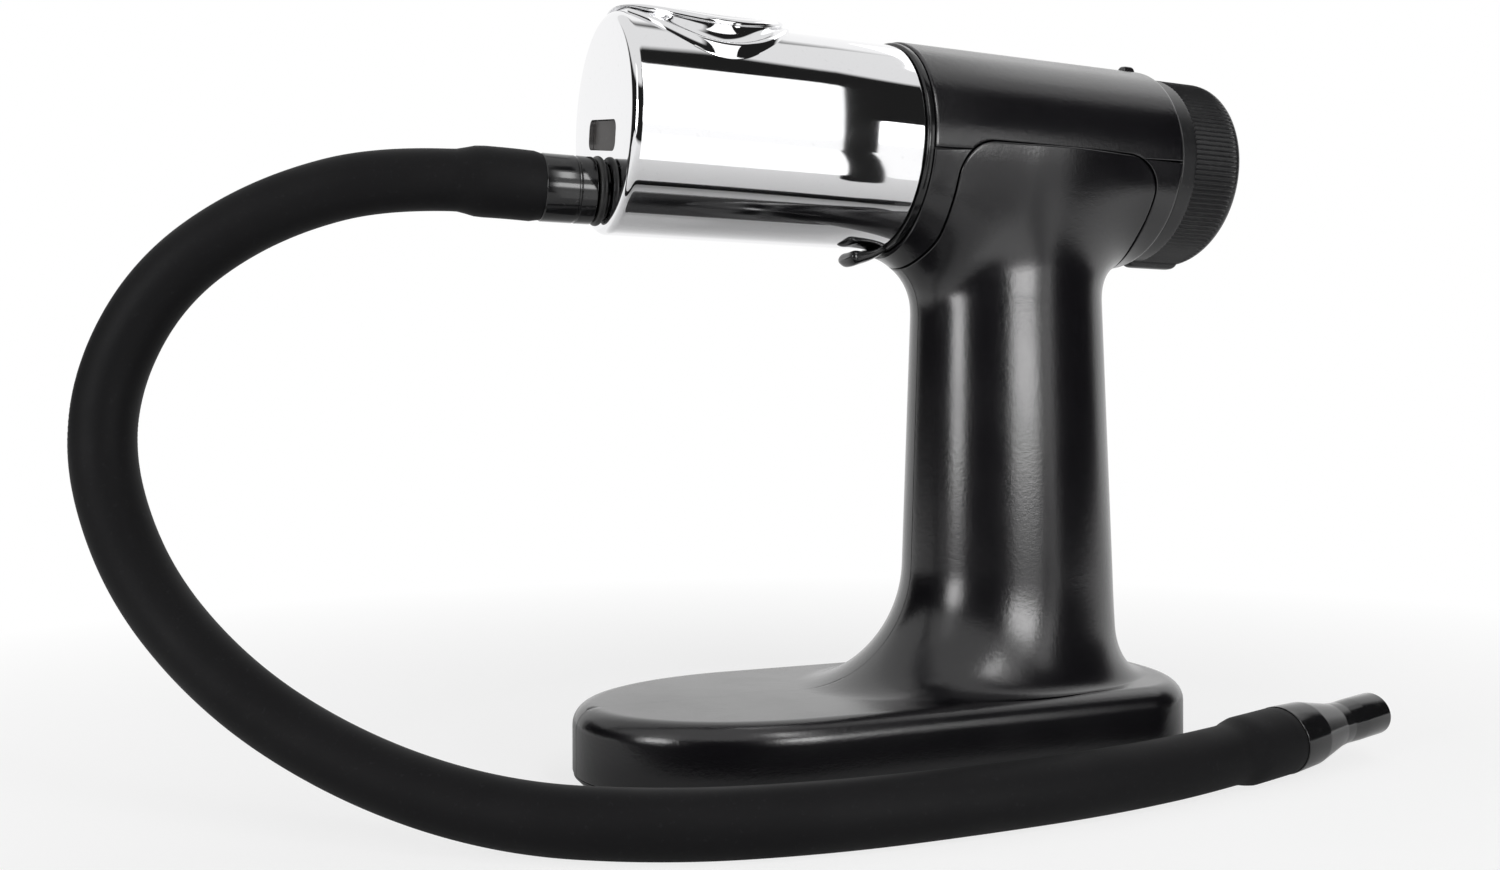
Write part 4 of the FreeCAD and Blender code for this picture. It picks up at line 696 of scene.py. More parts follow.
def form_at(points):
    """Signed distance, nearly, from the smooth union of handle and housing: less than 0 inside.
    Each of the two is a distance of its own, and near both the least one is drawn in by a rounded step,
    which is wider under the housing's front."""
    x, y, z = np.moveaxis(points, -1, 0)
    half_length, half_width = oval(z)
    over_x = (x - HANDLE_X) / half_length
    over_y = y / half_width
    ratio = np.sqrt(over_x ** 2 + over_y ** 2) + 1e-9
    handle = (ratio - 1.0) * ratio / np.sqrt((over_x / half_length) ** 2 + (over_y / half_width) ** 2 + 1e-12)
    housing = np.sqrt(y ** 2 + (z - AXIS_Z) ** 2) - HOUSING_RADIUS
    width = BLEND_WIDTH + FRONT_WIDENING * smooth((WIDENING_FROM - x) / WIDENING_OVER)
    near = np.clip(width - np.abs(handle - housing), 0.0, None) / width
    return np.minimum(handle, housing) - near ** 2 * width / 4.0


def slope_at(points):
    """The gradient of form_at, from central differences."""
    reach = 0.02
    parts = [(form_at(points + reach * axis) - form_at(points - reach * axis)) / (2.0 * reach) for axis in np.eye(3)]
    return np.stack(parts, axis=-1)


def unit(arrows):
    """Arrows at length 1."""
    return arrows / np.linalg.norm(arrows, axis=-1, keepdims=True)


def onto_form(points):
    """Points moved onto the smooth union by Newton steps along its gradient."""
    for _ in range(14):
        slope = slope_at(points)
        points = points - (form_at(points) / (slope ** 2).sum(-1))[..., None] * slope
    return points


def evenly(path, count):
    """A path's points laid out again at even distances."""
    run = along(path)
    at = np.linspace(0.0, run[-1], count)
    return np.stack([np.interp(at, run, path[:, axis]) for axis in range(path.shape[1])], axis=-1)


def side_depth(x, z):
    """How far the form stands out towards the near side at places of the side view, by halving an interval."""
    low = np.zeros_like(x)
    high = np.full_like(x, 45.0)
    for _ in range(40):
        middle = (low + high) / 2.0
        inside = form_at(np.stack((x, -middle, z), axis=-1)) < 0.0
        low = np.where(inside, middle, low)
        high = np.where(inside, high, middle)
    return low


EDGE_ROUND = 0.4


def rolled(rows, depth=1.8):
    """A grid on the form whose last row is turned in at a small radius and carried inwards as the wall."""
    out = unit(rows[-1] - rows[-2])
    normal = unit(slope_at(rows[-1]))
    bend = np.linspace(0.0, math.pi / 2.0, 4)[:, None, None]
    edge = rows[-1] - EDGE_ROUND * ((1.0 - np.sin(bend)) * out + (1.0 - np.cos(bend)) * normal)
    return np.concatenate((rows[:-1], edge, edge[-1:] - depth * normal))


# The panel's outline from the side: places along and above the gun line, each with a corner radius.
PANEL_CORNERS = ((79.0, -33.5, 0), (83.1, -25.5, 10), (83.1, -2.2, 9),
                 (142.4, -2.2, 10), (142.5, -22.0, 20), (145.5, -36.0, 0))
panel_line = evenly(rounded_profile(PANEL_CORNERS, 16), 2001) + (MUZZLE_X, AXIS_Z)
on_form = form_at(np.stack((panel_line[:, 0], np.zeros(len(panel_line)), panel_line[:, 1]), axis=-1)) < 0.0
panel_line = panel_line[on_form]
panel_edge = np.stack((panel_line[:, 0], -side_depth(panel_line[:, 0], panel_line[:, 1]), panel_line[:, 1]), axis=-1)
panel_edge = evenly(panel_edge, HALF_COLUMNS)
panel_edge[:, 1] = -side_depth(panel_edge[:, 0], panel_edge[:, 2])
panel_edge[[0, -1], 1] = 0.0

# Lower rows of a half: wall, rounded edge and top of the foot, then the flare and the grip up to the neck.
turn = np.linspace(0.0, math.pi, 2001)
dense_ring = handle_ring(np.array([[90.0]]), turn[None])[0]
half_turn = np.interp(np.linspace(0.0, along(dense_ring)[-1], HALF_COLUMNS), along(dense_ring), turn)


def foot_plan(inset, share):
    """The foot's plan, drawn in by an inset: elliptical nose and heel joined by straight sides. The share
    runs from 0 at the nose to 1 beside the handle and to 2 at the heel."""
    quarter = np.linspace(0.0, math.pi / 2.0, 400)
    half = FOOT_HALF - inset
    nose = np.c_[FOOT_FRONT + FOOT_NOSE - (FOOT_NOSE - inset) * np.cos(quarter), -half * np.sin(quarter)]
    heel = np.c_[FOOT_REAR - FOOT_HEEL + (FOOT_HEEL - inset) * np.cos(quarter), -half * np.sin(quarter)][::-1]
    line = np.vstack((nose, heel))
    run = along(line)
    beside = run[len(nose) - 1] + HANDLE_X - nose[-1, 0]
    at = np.interp(share, (0.0, 1.0, 2.0), (0.0, beside, run[-1]))
    return np.stack([np.interp(at, run, line[:, axis]) for axis in (0, 1)], axis=-1)


plan_share = half_turn / (math.pi / 2.0)
bends = np.linspace(0.0, math.pi / 2.0, 9)
foot_rows = [(2.2, 6.0), (2.2, WALL_LOW + 0.1), (0.6, WALL_LOW), (0.15, WALL_LOW + 0.15), (0.0, WALL_LOW + 0.6),
             (0.0, 8.0)]
foot_rows += [(FOOT_ROUND * (1.0 - math.cos(bend)), FOOT_TOP - FOOT_ROUND + FOOT_ROUND * math.sin(bend))
              for bend in bends]
foot_rings = [np.c_[foot_plan(inset, plan_share), np.full(HALF_COLUMNS, height)] for inset, height in foot_rows]
flare_bend = np.linspace(0.0, math.pi / 2.0, 34)
flare_rings = handle_ring(FOOT_TOP + FRONT_FLARE * (1.0 - np.cos(flare_bend))[:, None], half_turn[None])
top_share = smooth(np.linspace(0.0, 1.0, 14))[1:-1, None, None]
top_rings = foot_rings[-1][None] + top_share * (flare_rings[0] - foot_rings[-1])[None]
NECK_Z = 108.0
grip_rings = handle_ring(np.linspace(FOOT_TOP + FRONT_FLARE, NECK_Z, 14)[1:, None], half_turn[None])

# Upper rows: from the neck to the panel's edge over the smooth union, then rolled in at the seam.
neck = grip_rings[-1]
edge_normal = unit(slope_at(panel_edge))
edge_out = np.cross(headings(panel_edge), edge_normal)
edge_out *= np.sign(edge_out[len(edge_out) // 2, 2])
reach = np.linalg.norm(panel_edge - neck, axis=1)[:, None]
t = np.linspace(0.0, 1.0, 71)[1:, None, None]
upper = ((2 * t ** 3 - 3 * t ** 2 + 1) * neck + (t ** 3 - 2 * t ** 2 + t) * reach * upright
         + (3 * t ** 2 - 2 * t ** 3) * panel_edge + (t ** 3 - t ** 2) * reach * edge_out)
upper = onto_form(upper)
upper[:, [0, -1], 1] = 0.0
shell = np.concatenate((np.array(foot_rings), top_rings, flare_rings, grip_rings, rolled(upper)))
MIDDLE_GROOVE = 0.25
shell[..., 1] = np.minimum(shell[..., 1], -0.02)
middle = shell[:, [0, -1]]
middle[:, 0, 0] += MIDDLE_GROOVE
middle[:, 1, 0] -= MIDDLE_GROOVE
shell[:, [0, -1], 1] = -MIDDLE_GROOVE / 2.0
shell = np.concatenate((middle[:, :1], shell, middle[:, 1:]), axis=1)
left_shell = skin("handle_near", shell, "stand", satin_black, "satin_black", closed=False)
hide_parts("left_handle_shell")
right_shell = skin("handle_far", shell * (1, -1, 1), "stand", satin_black, "satin_black", closed=False, flip=True)
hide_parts("right_handle_shell")
SCREW_X = 38.8
SCREW_LEVELS = (62.0, 104.0)
BORE_RADIUS = 2.9
BORE_FLOOR = 7.9
BORE_PAST = 40.0
bore_turn = full_turn(48)
bore_line = BORE_RADIUS * np.c_[np.cos(bore_turn), np.sin(bore_turn)]
cut_out(right_shell, [prism("bore_tool", bore_line + (SCREW_X, height), BORE_FLOOR, BORE_PAST, 1)
                      for height in SCREW_LEVELS])

# The housing round the motor is moulded in three more pieces of the same plastic: a long upper shell, and two
# lower pieces, one in front of the panels, closed over the lever's catch, and one behind them.
SEAM = 0.42
HOUSING_FRONT = 75.4
HOUSING_BACK = 150.2
HOUSING_ROUND = 1.2
PARTING_FRONT = -4.6
PARTING_RISE = 2.2


def parting(place):
    """Height of the line between upper and lower pieces over the gun line: it falls slightly to the front."""
    return PARTING_FRONT + PARTING_RISE * (place - HOUSING_FRONT) / (HOUSING_BACK - HOUSING_FRONT)


upper_along = np.unique(np.r_[
    np.linspace(HOUSING_FRONT + 0.4, 84.0, 20), np.linspace(84.0, 96.0, 60), np.linspace(96.0, 130.0, 30),
    np.linspace(130.0, 142.0, 60), np.linspace(142.0, HOUSING_BACK - HOUSING_ROUND, 20)])
panel_top = rounded_profile(PANEL_CORNERS, 16)
panel_top = panel_top[panel_top[:, 1] > -11.0] + (0.0, SEAM)
panel_bound = np.interp(upper_along, panel_top[:, 0], panel_top[:, 1], left=-20.0, right=-20.0)
bound = np.maximum(panel_bound, parting(upper_along))
bound_turn = np.arccos(bound / HOUSING_RADIUS)
upper_share = np.linspace(-1.0, 1.0, 161)
back_bend = np.linspace(0.0, math.pi / 2.0, 8)[1:]
front_lip = ((HOUSING_FRONT, 1.8), (HOUSING_FRONT, 0.3), (HOUSING_FRONT + 0.1, 0.1))
back_round = np.c_[HOUSING_BACK - HOUSING_ROUND + HOUSING_ROUND * np.sin(back_bend),
                   HOUSING_ROUND * (1.0 - np.cos(back_bend))]
profile = np.vstack((front_lip, np.c_[upper_along, np.zeros(len(upper_along))], back_round, ((HOUSING_BACK, 3.5),)))
turn_limit = np.r_[np.full(3, bound_turn[0]), bound_turn, np.full(8, bound_turn[-1])]
roll = EDGE_ROUND / HOUSING_RADIUS
bend = np.linspace(0.0, math.pi / 2.0, 4)
edge_angles = turn_limit[:, None] - roll * (1.0 - np.sin(np.r_[bend, bend[-1]]))
edge_drops = np.r_[EDGE_ROUND * (1.0 - np.cos(bend)), 2.0]
middle_angles = (turn_limit - roll)[:, None] * upper_share[1:-1]
angles = np.concatenate((-edge_angles[:, ::-1], middle_angles, edge_angles), axis=1)
drops = np.r_[edge_drops[::-1], np.zeros(len(upper_share) - 2), edge_drops]
out = HOUSING_RADIUS - profile[:, 1, None] - drops[None]
upper_grid = about_gun_line(profile[:, :1], out, angles)
upper_housing = skin("housing_top", upper_grid, "stand", satin_black, "satin_black", closed=False)
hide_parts("upper_housing")


def lower_rows(edge, place, count, columns):
    """Rows on the form from the housing's round at a place along it to a stretch of the panel's edge: straight
    lines between points at equal shares of both, moved onto the form, and then mirrored to the far side."""
    edge = evenly(edge, columns)
    lowest = np.linspace(math.acos((parting(place) - SEAM) / HOUSING_RADIUS), math.pi, columns)
    start = spun(((place, HOUSING_RADIUS),), lowest)[0]
    rows = onto_form(start + np.linspace(0.0, 1.0, count)[:, None, None] * (edge - start))
    rows[0] = start
    rows[:, -1, 1] = 0.0
    return np.concatenate((rows, rows[:, -2::-1] * (1, -1, 1)), axis=1)


def turned_in(rows):
    """A grid whose two outer columns are rolled in, as its last row is by rolled()."""
    rows = rolled(np.swapaxes(rows, 0, 1))
    rows = rolled(rows[::-1])[::-1]
    return np.swapaxes(rows, 0, 1)


seam_edge = onto_form(panel_edge + SEAM * edge_out)
seam_edge[[0, -1], 1] = 0.0
below = np.flatnonzero(seam_edge[:, 2] > AXIS_Z + parting(seam_edge[:, 0] - MUZZLE_X) - SEAM)
front_edge = seam_edge[:below[0] + 1][::-1]
rear_edge = seam_edge[below[-1]:]
front_rows = rolled(lower_rows(front_edge, HOUSING_FRONT, 30, 61))
front_rows = rolled(front_rows[::-1])[::-1]
lower_front = skin("housing_low_front", turned_in(front_rows), "stand", satin_black, "satin_black", closed=False)
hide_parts("lower_front_housing", "latch_bracket", "lever_pin", "lever_spring")
rear_rows = rolled(lower_rows(rear_edge, HOUSING_BACK - HOUSING_ROUND, 24, 61))
lip_turn = np.arctan2(-rear_rows[0, :, 1], rear_rows[0, :, 2] - AXIS_Z)
lip = spun(profile[-8:][::-1] * (1, -1) + (0, HOUSING_RADIUS), lip_turn)
lower_rear = skin("housing_low_rear", turned_in(np.concatenate((lip, rear_rows))), "stand", satin_black, "satin_black",
                  closed=False, flip=True)
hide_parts("lower_rear_housing")

# The indicator is a small lens of smoked clear plastic. It is pushed up from inside through the top of the
# housing, and stands a little proud of it.
LENS_ALONG = 147.9
LENS_TURN = math.radians(13.0)
LENS_HALF_LENGTH = 1.95
LENS_HALF_WIDTH = 1.45
LENS_SINK = 0.6
LENS_RISE = 1.9


def cushion(share_along, share_across, power):
    """Height of a rounded block over shares from -1 to 1: full in the middle, falling to 0 at the edges."""
    return (1.0 - np.abs(share_along) ** power) ** 0.5 * (1.0 - np.abs(share_across) ** power) ** 0.5


share = np.sin(np.linspace(-math.pi / 2.0, math.pi / 2.0, 25))
lens_share, lens_cross = np.meshgrid(share, share, indexing="ij")
lens_out = HOUSING_RADIUS - LENS_SINK + LENS_RISE * cushion(lens_share, lens_cross, 5.0)
lens_x = MUZZLE_X + LENS_ALONG + LENS_HALF_LENGTH * lens_share
lens_y = LENS_HALF_WIDTH * lens_cross
lens_grid = np.stack((lens_x, lens_y * math.cos(LENS_TURN) - lens_out * math.sin(LENS_TURN),
                      AXIS_Z + lens_y * math.sin(LENS_TURN) + lens_out * math.cos(LENS_TURN)), axis=-1)
smoked_lens = finish("smoked_lens", (0.012, 0.011, 0.012), (0.03, 0.03, 0.03), 0.06, 0.04, specular=0.6)
lens = skin("indicator", lens_grid, "stand", smoked_lens, "lens_dark", closed=False)
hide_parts("indicator_lens")

# The speed dial is moulded in black with a smooth collar, fine straight flutes for grip and one raised rib
# that marks the setting. It is pressed onto the stem of the speed control.
DIAL_FRONT = 150.8
DIAL_BACK = 171.6
DIAL_RADIUS = 25.5
DIAL_COLLAR = 155.4
FLUTE_END = 168.7
FLUTES = 120
FLUTE_DEPTH = 0.55
dial_black = finish("dial_black", (0.008, 0.008, 0.0088), (0.03, 0.03, 0.03), 0.36, 0.06, grain=0.012)
dial_profile = rounded_profile((
    (DIAL_FRONT, 16.0, 0), (DIAL_FRONT, DIAL_RADIUS, 0.5), (DIAL_BACK, DIAL_RADIUS, 3.1), (DIAL_BACK, 0.0, 0)), 10)
collar_part = np.linspace(DIAL_FRONT + 0.6, DIAL_COLLAR - 0.2, 6)
flute_part = np.r_[np.linspace(DIAL_COLLAR, DIAL_COLLAR + 0.6, 5),
                   np.linspace(DIAL_COLLAR + 1.2, DIAL_BACK - 3.3, 10)]
middle_part = np.r_[collar_part, flute_part]
turn_in = np.searchsorted(dial_profile[:, 0], DIAL_FRONT + 0.55)
dial_side = np.c_[middle_part, np.full(len(middle_part), DIAL_RADIUS)]
dial_profile = np.vstack((dial_profile[:turn_in], dial_side, dial_profile[turn_in:]))
dial_turn = full_turn(FLUTES * 6)
flute = (0.5 - 0.5 * np.cos(FLUTES * dial_turn)) ** 0.8
dial_along = dial_profile[:, 0]
flute_mask = smooth((dial_along - DIAL_COLLAR + 0.1) / 0.5) * smooth((FLUTE_END + 0.6 - dial_along) / 1.2)
dial_out = dial_profile[:, 1, None] - FLUTE_DEPTH * flute_mask[:, None] * flute
dial_out = np.maximum(dial_out, 0.0)
dial_grid = about_gun_line(dial_profile[:, :1], dial_out, dial_turn)
dial = skin("dial", dial_grid, "dial", dial_black, "dial_black", around=True, closed=False, sharp=60.0)
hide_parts("speed_dial")
RIB_FRONT = 152.2
RIB_BACK = 169.2
RIB_HALF = 2.1
RIB_RADIUS = 26.8
RIB_SINK = 1.2
rib_share, rib_cross = np.meshgrid(np.sin(np.linspace(-math.pi / 2.0, math.pi / 2.0, 41)), share, indexing="ij")
rib_out = DIAL_RADIUS - RIB_SINK + (RIB_RADIUS - DIAL_RADIUS + RIB_SINK) * cushion(rib_share ** 3, rib_cross, 4.0)
rib_grid = np.stack((MUZZLE_X + (RIB_FRONT + RIB_BACK) / 2.0 + (RIB_BACK - RIB_FRONT) / 2.0 * rib_share,
                     RIB_HALF * rib_cross, AXIS_Z - rib_out), axis=-1)
rib = skin("dial_rib", rib_grid, "dial", dial_black, "dial_black", closed=False, flip=True)

# The release lever is a short tongue of gloss black plastic under the barrel's rear end. It turns on a pin
# inside the housing, comes out through a notch in the front ring and ends in a thick rounded lip.
# LEVER_LINE gives places (x, z) along the tongue's middle from tip to root, each with half the thickness there.
LEVER_LINE = np.array((
    (-18.6, 127.9, 1.0), (-17.6, 128.05, 1.7), (-15.0, 128.4, 1.5), (-11.8, 129.3, 1.2), (-9.4, 130.6, 1.1),
    (-7.9, 132.2, 1.1), (-7.2, 134.0, 1.1)))
LEVER_HALF = 4.4
lever_step = np.linspace(0.0, 1.0, 61)
lever_run = along(LEVER_LINE[:, :2])
lever_run /= lever_run[-1]


def through(values, knots, at):
    """A smooth curve through values at knots: cubic pieces whose slopes are those of the neighbours' chords."""
    slope = np.gradient(values, knots)
    cell = np.clip(np.searchsorted(knots, at) - 1, 0, len(knots) - 2)
    width = knots[cell + 1] - knots[cell]
    s = (at - knots[cell]) / width
    return ((2 * s ** 3 - 3 * s ** 2 + 1) * values[cell] + (s ** 3 - 2 * s ** 2 + s) * width * slope[cell]
            + (3 * s ** 2 - 2 * s ** 3) * values[cell + 1] + (s ** 3 - s ** 2) * width * slope[cell + 1])


lever_x, lever_z, lever_thick = (through(LEVER_LINE[:, axis], lever_run, lever_step) for axis in range(3))
lever_way = unit(np.gradient(np.c_[lever_x, lever_z], axis=0))
tip = np.sqrt(np.clip(1.0 - (1.0 - np.clip(lever_step / 0.1, 0.0, 1.0)) ** 2, 0.0, 1.0))
lever_turn = full_turn(48)
across_lever = np.sign(np.cos(lever_turn)) * np.abs(np.cos(lever_turn)) ** 0.45
over_lever = np.sign(np.sin(lever_turn)) * np.abs(np.sin(lever_turn)) ** 0.7
lever_width = LEVER_HALF * (0.72 + 0.28 * tip)
lever_off = (lever_thick * (0.35 + 0.65 * tip))[:, None] * over_lever
lever_y = lever_width[:, None] * across_lever
lever_grid = np.stack((lever_x[:, None] - lever_off * lever_way[:, 1:], lever_y,
                       lever_z[:, None] + lever_off * lever_way[:, :1] + lever_y ** 2 / (2 * BARREL_RADIUS)), axis=-1)
cap = np.broadcast_to(lever_grid[:1].mean(axis=1, keepdims=True), lever_grid[:1].shape) - (0.35, 0.0, 0.0)
back_cap = np.broadcast_to(lever_grid[-1:].mean(axis=1, keepdims=True), lever_grid[-1:].shape)
lever = skin("lever", np.concatenate((cap, lever_grid, back_cap)), "lever", gloss_black, "gloss_black", around=True)
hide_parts("release_lever")

# The pieces inside and underneath are moulded carriers, steel shafts and screws, cells with their contacts, the
# board with its wires, and the seals. They keep their solids' shapes and only take their finish here.
inner_plastic = finish("inner_plastic", (0.012, 0.012, 0.013), (0.04, 0.04, 0.04), 0.42, 0.1, grain=0.02)
bright_steel = finish("bright_steel", (0.55, 0.55, 0.56), (0.4, 0.4, 0.4), 0.22, 0.12, metal=1.0)
cell_jacket = finish("cell_jacket", (0.03, 0.06, 0.16), (0.1, 0.13, 0.2), 0.3, 0.08)
contact_metal = finish("contact_metal", (0.6, 0.58, 0.52), (0.4, 0.38, 0.33), 0.3, 0.12, metal=1.0)
board_green = finish("board_green", (0.012, 0.07, 0.03), (0.04, 0.1, 0.06), 0.35, 0.1)
wire_sleeve = finish("wire_sleeve", (0.2, 0.012, 0.012), (0.25, 0.06, 0.06), 0.45, 0.1)
dress(satin_black, "base_plate", "battery_cover")
dress(seal_rubber, "non_slip_ring", "barrel_seal")
dress(bright_steel, "handle_screws", "base_plate_screws", "motor_screws", "motor_shaft", "dial_shaft",
      "potentiometer_nut", "fan_motor")
dress(inner_plastic, "battery_cradle", "motor_mount", "rear_bulkhead", "speed_potentiometer", "fan_shroud",
      "impeller", "board_posts")
dress(cell_jacket, "battery_cell_1", "battery_cell_2", "battery_cell_3", "battery_cell_4")
dress(contact_metal, "battery_contacts")
dress(board_green, "circuit_board")
dress(wire_sleeve, "wire_loom")

# The table is a plain white sheet that fades into the white backdrop away from the object. Near the object
# it is lit by the lamps and keeps the shadow. Past its front, mirrored rays see the sheet only at the dim room's
# strength: a painted dark reflection, not the sheet's own colour.
FLOOR_HALF = 3000.0
floor_mesh = bpy.data.meshes.new("floor")
floor_corners = np.array(((-1, -1, 0), (1, -1, 0), (1, 1, 0), (-1, 1, 0))) * FLOOR_HALF * MM
floor_mesh.from_pydata(floor_corners.tolist(), [], [(0, 1, 2, 3)])
floor = bpy.data.objects.new("floor", floor_mesh)
bpy.context.scene.collection.objects.link(floor)
table = bpy.data.materials.new("table_sheet")
table.use_nodes = True
tree = table.node_tree
sheet = tree.nodes["Principled BSDF"]
sheet.inputs["Base Color"].default_value = (0.92, 0.92, 0.92, 1.0)
sheet.inputs["Roughness"].default_value = 0.8
sheet.inputs["Specular IOR Level"].default_value = 0.1
glow = tree.nodes.new("ShaderNodeEmission")
place = tree.nodes.new("ShaderNodeTexCoord")
distance = tree.nodes.new("ShaderNodeVectorMath")
distance.operation = "LENGTH"
tree.links.new(place.outputs["Object"], distance.inputs[0])
FADE_END = 0.42
fade = between(tree, distance.outputs["Value"], 0.78, 1.0, 0.15, FADE_END)
mirror_fade = between(tree, distance.outputs["Value"], 0.15, 1.0, 0.1, FADE_END)
rays = tree.nodes.new("ShaderNodeLightPath")


def either(tree, first, second):
    """The larger of two values."""
    larger = tree.nodes.new("ShaderNodeMath")
    larger.operation = "MAXIMUM"
    tree.links.new(first, larger.inputs[0])
    tree.links.new(second, larger.inputs[1])
    return larger.outputs["Value"]


def product(tree, first, second):
    """Two values multiplied."""
    times = tree.nodes.new("ShaderNodeMath")
    times.operation = "MULTIPLY"
    tree.links.new(first, times.inputs[0])
    tree.links.new(second, times.inputs[1])
    return times.outputs["Value"]


mirrored = either(tree, rays.outputs["Is Glossy Ray"], rays.outputs["Is Transmission Ray"])
shown = either(tree, product(tree, fade, rays.outputs["Is Camera Ray"]), product(tree, mirror_fade, mirrored))
sides = tree.nodes.new("ShaderNodeSeparateXYZ")
tree.links.new(place.outputs["Object"], sides.inputs["Vector"])
# Past this front, mirrored rays see the sheet as dark as the dim room: a painted dark reflection.
TABLE_FRONT = -0.29
TABLE_BLUR = 0.03
past_front = between(tree, sides.outputs["Y"], 1.0, 0.0, TABLE_FRONT - TABLE_BLUR, TABLE_FRONT + TABLE_BLUR)
painted_dark_past_front = product(tree, mirrored, past_front)
DIM_ROOM = 0.015
tree.links.new(between(tree, painted_dark_past_front, 1.0, DIM_ROOM, 0.0, 1.0), glow.inputs["Strength"])
blend = tree.nodes.new("ShaderNodeMixShader")
tree.links.new(either(tree, shown, painted_dark_past_front), blend.inputs["Fac"])
tree.links.new(sheet.outputs["BSDF"], blend.inputs[1])
tree.links.new(glow.outputs["Emission"], blend.inputs[2])
tree.links.new(blend.outputs["Shader"], tree.nodes["Material Output"].inputs["Surface"])
floor_mesh.materials.append(table)

# The studio is a white backdrop behind the object, a pale ceiling that comes down on the left, and a dim room
# behind the camera. Only mirrored rays see these; other light from the world is an even fill.
world = bpy.data.worlds.new("studio")
bpy.context.scene.world = world
world.use_nodes = True
tree = world.node_tree
CEILING = 0.88
BACKDROP = 1.05
FILL = 0.12
look = tree.nodes.new("ShaderNodeTexCoord").outputs["Generated"]


def towards(tree, look, arrow):
    """How far a direction points along an arrow."""
    dot = tree.nodes.new("ShaderNodeVectorMath")
    dot.operation = "DOT_PRODUCT"
    dot.inputs[1].default_value = arrow
    tree.links.new(look, dot.inputs[0])
    return dot.outputs["Value"]


backdrop = between(tree, towards(tree, look, (0.45, 0.89, 0.0)), DIM_ROOM, BACKDROP, 0.4, 0.55)
ceiling = between(tree, towards(tree, look, (0.68, 0.0, 1.0)), DIM_ROOM, CEILING, 1.13, 1.15)
climb = towards(tree, look, (0.0, 0.0, 1.0))
zenith = between(tree, climb, DIM_ROOM, CEILING, 0.9, 0.93)
leftward = between(tree, towards(tree, look, (-2.0, 0.0, 1.0)), 0.0, 1.0, 0.5, 0.7)
left_sky = product(tree, leftward, between(tree, climb, 0.0, CEILING, 0.42, 0.5))
rays = tree.nodes.new("ShaderNodeLightPath")


def chosen(tree, switch, plain, otherwise):
    """One value or link where a switch is 0, and another where it is 1."""
    mix = tree.nodes.new("ShaderNodeMix")
    tree.links.new(switch, mix.inputs["Factor"])
    for socket, value in ((mix.inputs["A"], plain), (mix.inputs["B"], otherwise)):
        if isinstance(value, float):
            socket.default_value = value
        else:
            tree.links.new(value, socket)
    return mix.outputs["Result"]


mirrored = either(tree, rays.outputs["Is Glossy Ray"], rays.outputs["Is Transmission Ray"])
room = either(tree, either(tree, backdrop, left_sky), either(tree, ceiling, zenith))
strength = chosen(tree, rays.outputs["Is Camera Ray"], chosen(tree, mirrored, FILL, room), 1.0)
sky = tree.nodes["Background"]
tree.links.new(strength, sky.inputs["Strength"])
sky.inputs["Color"].default_value = (1.0, 1.0, 1.0, 1.0)


# Soft boxes: a large curved one beside the camera, a small one to its right, a strip to its left, and a weak one
# over the housing. The large one and the strip have brighter cores for the black plastic. Two white cards on
# the table carry the first two down to the object, with a black card between them. The cards are seen only by
# mirrored rays and light nothing: they are painted reflections, the white ones of a lit table and the black one a
# painted dark stripe.
FOOT_LOW = 0.08
FOOT_HIGH = 0.12


def soft_box(name, outline, fold, strength, foot=1.2):
    """A glowing sheet: rays from its middle to an outline of (across, up) points, carried into space by fold.
    Its lowest part glows less, at the strength of its foot."""
    outline = np.asarray(outline)
    middle = (outline.min(axis=0) + outline.max(axis=0)) / 2.0
    share = np.linspace(0.0, 1.0, 21)[:, None, None]
    grid = fold(middle + share * (outline - middle))
    mesh = bpy.data.meshes.new(name)
    mesh.from_pydata((grid.reshape(-1, 3) * MM).tolist(), [], quads(len(grid), len(outline), around=True).tolist())
    box = bpy.data.objects.new(name, mesh)
    bpy.context.scene.collection.objects.link(box)
    box.visible_camera = False
    box.visible_shadow = False
    cloth = bpy.data.materials.new(name)
    cloth.use_nodes = True
    cloth.node_tree.nodes.clear()
    light = cloth.node_tree.nodes.new("ShaderNodeEmission")
    spot = cloth.node_tree.nodes.new("ShaderNodeTexCoord")
    height = cloth.node_tree.nodes.new("ShaderNodeSeparateXYZ")
    cloth.node_tree.links.new(spot.outputs["Object"], height.inputs["Vector"])
    glow_up = between(cloth.node_tree, height.outputs["Z"], foot, strength, FOOT_LOW, FOOT_HIGH)
    cloth.node_tree.links.new(glow_up, light.inputs["Strength"])
    end = cloth.node_tree.nodes.new("ShaderNodeOutputMaterial")
    cloth.node_tree.links.new(light.outputs["Emission"], end.inputs["Surface"])
    mesh.materials.append(cloth)
    return box


def rounded_sheet(left, right, low, high, corner):
    """Outline of a rectangle with rounded corners."""
    centre = (left + right) / 2.0
    half = rounded_profile(((centre, low, 0), (right, low, corner), (right, high, corner), (centre, high, 0)))
    other = rounded_profile(((centre, high, 0), (left, high, corner), (left, low, corner), (centre, low, 0)))
    return evenly(np.vstack((half, other[1:])), 181)[:-1]


def around_gun_line(distance):
    """Carry (across, up) onto a cylinder about the gun line, with up as an arc length from the level of the line."""
    def fold(points):
        angle = points[..., 1] / distance
        return np.stack((points[..., 0], -distance * np.cos(angle), AXIS_Z + distance * np.sin(angle)), axis=-1)
    return fold


def around_handle(distance):
    """Carry (across, up) onto an upright cylinder about the handle, with across as an arc length from -Y."""
    def fold(points):
        angle = points[..., 0] / distance
        return np.stack((HANDLE_X + distance * np.sin(angle), -distance * np.cos(angle), points[..., 1]), axis=-1)
    return fold


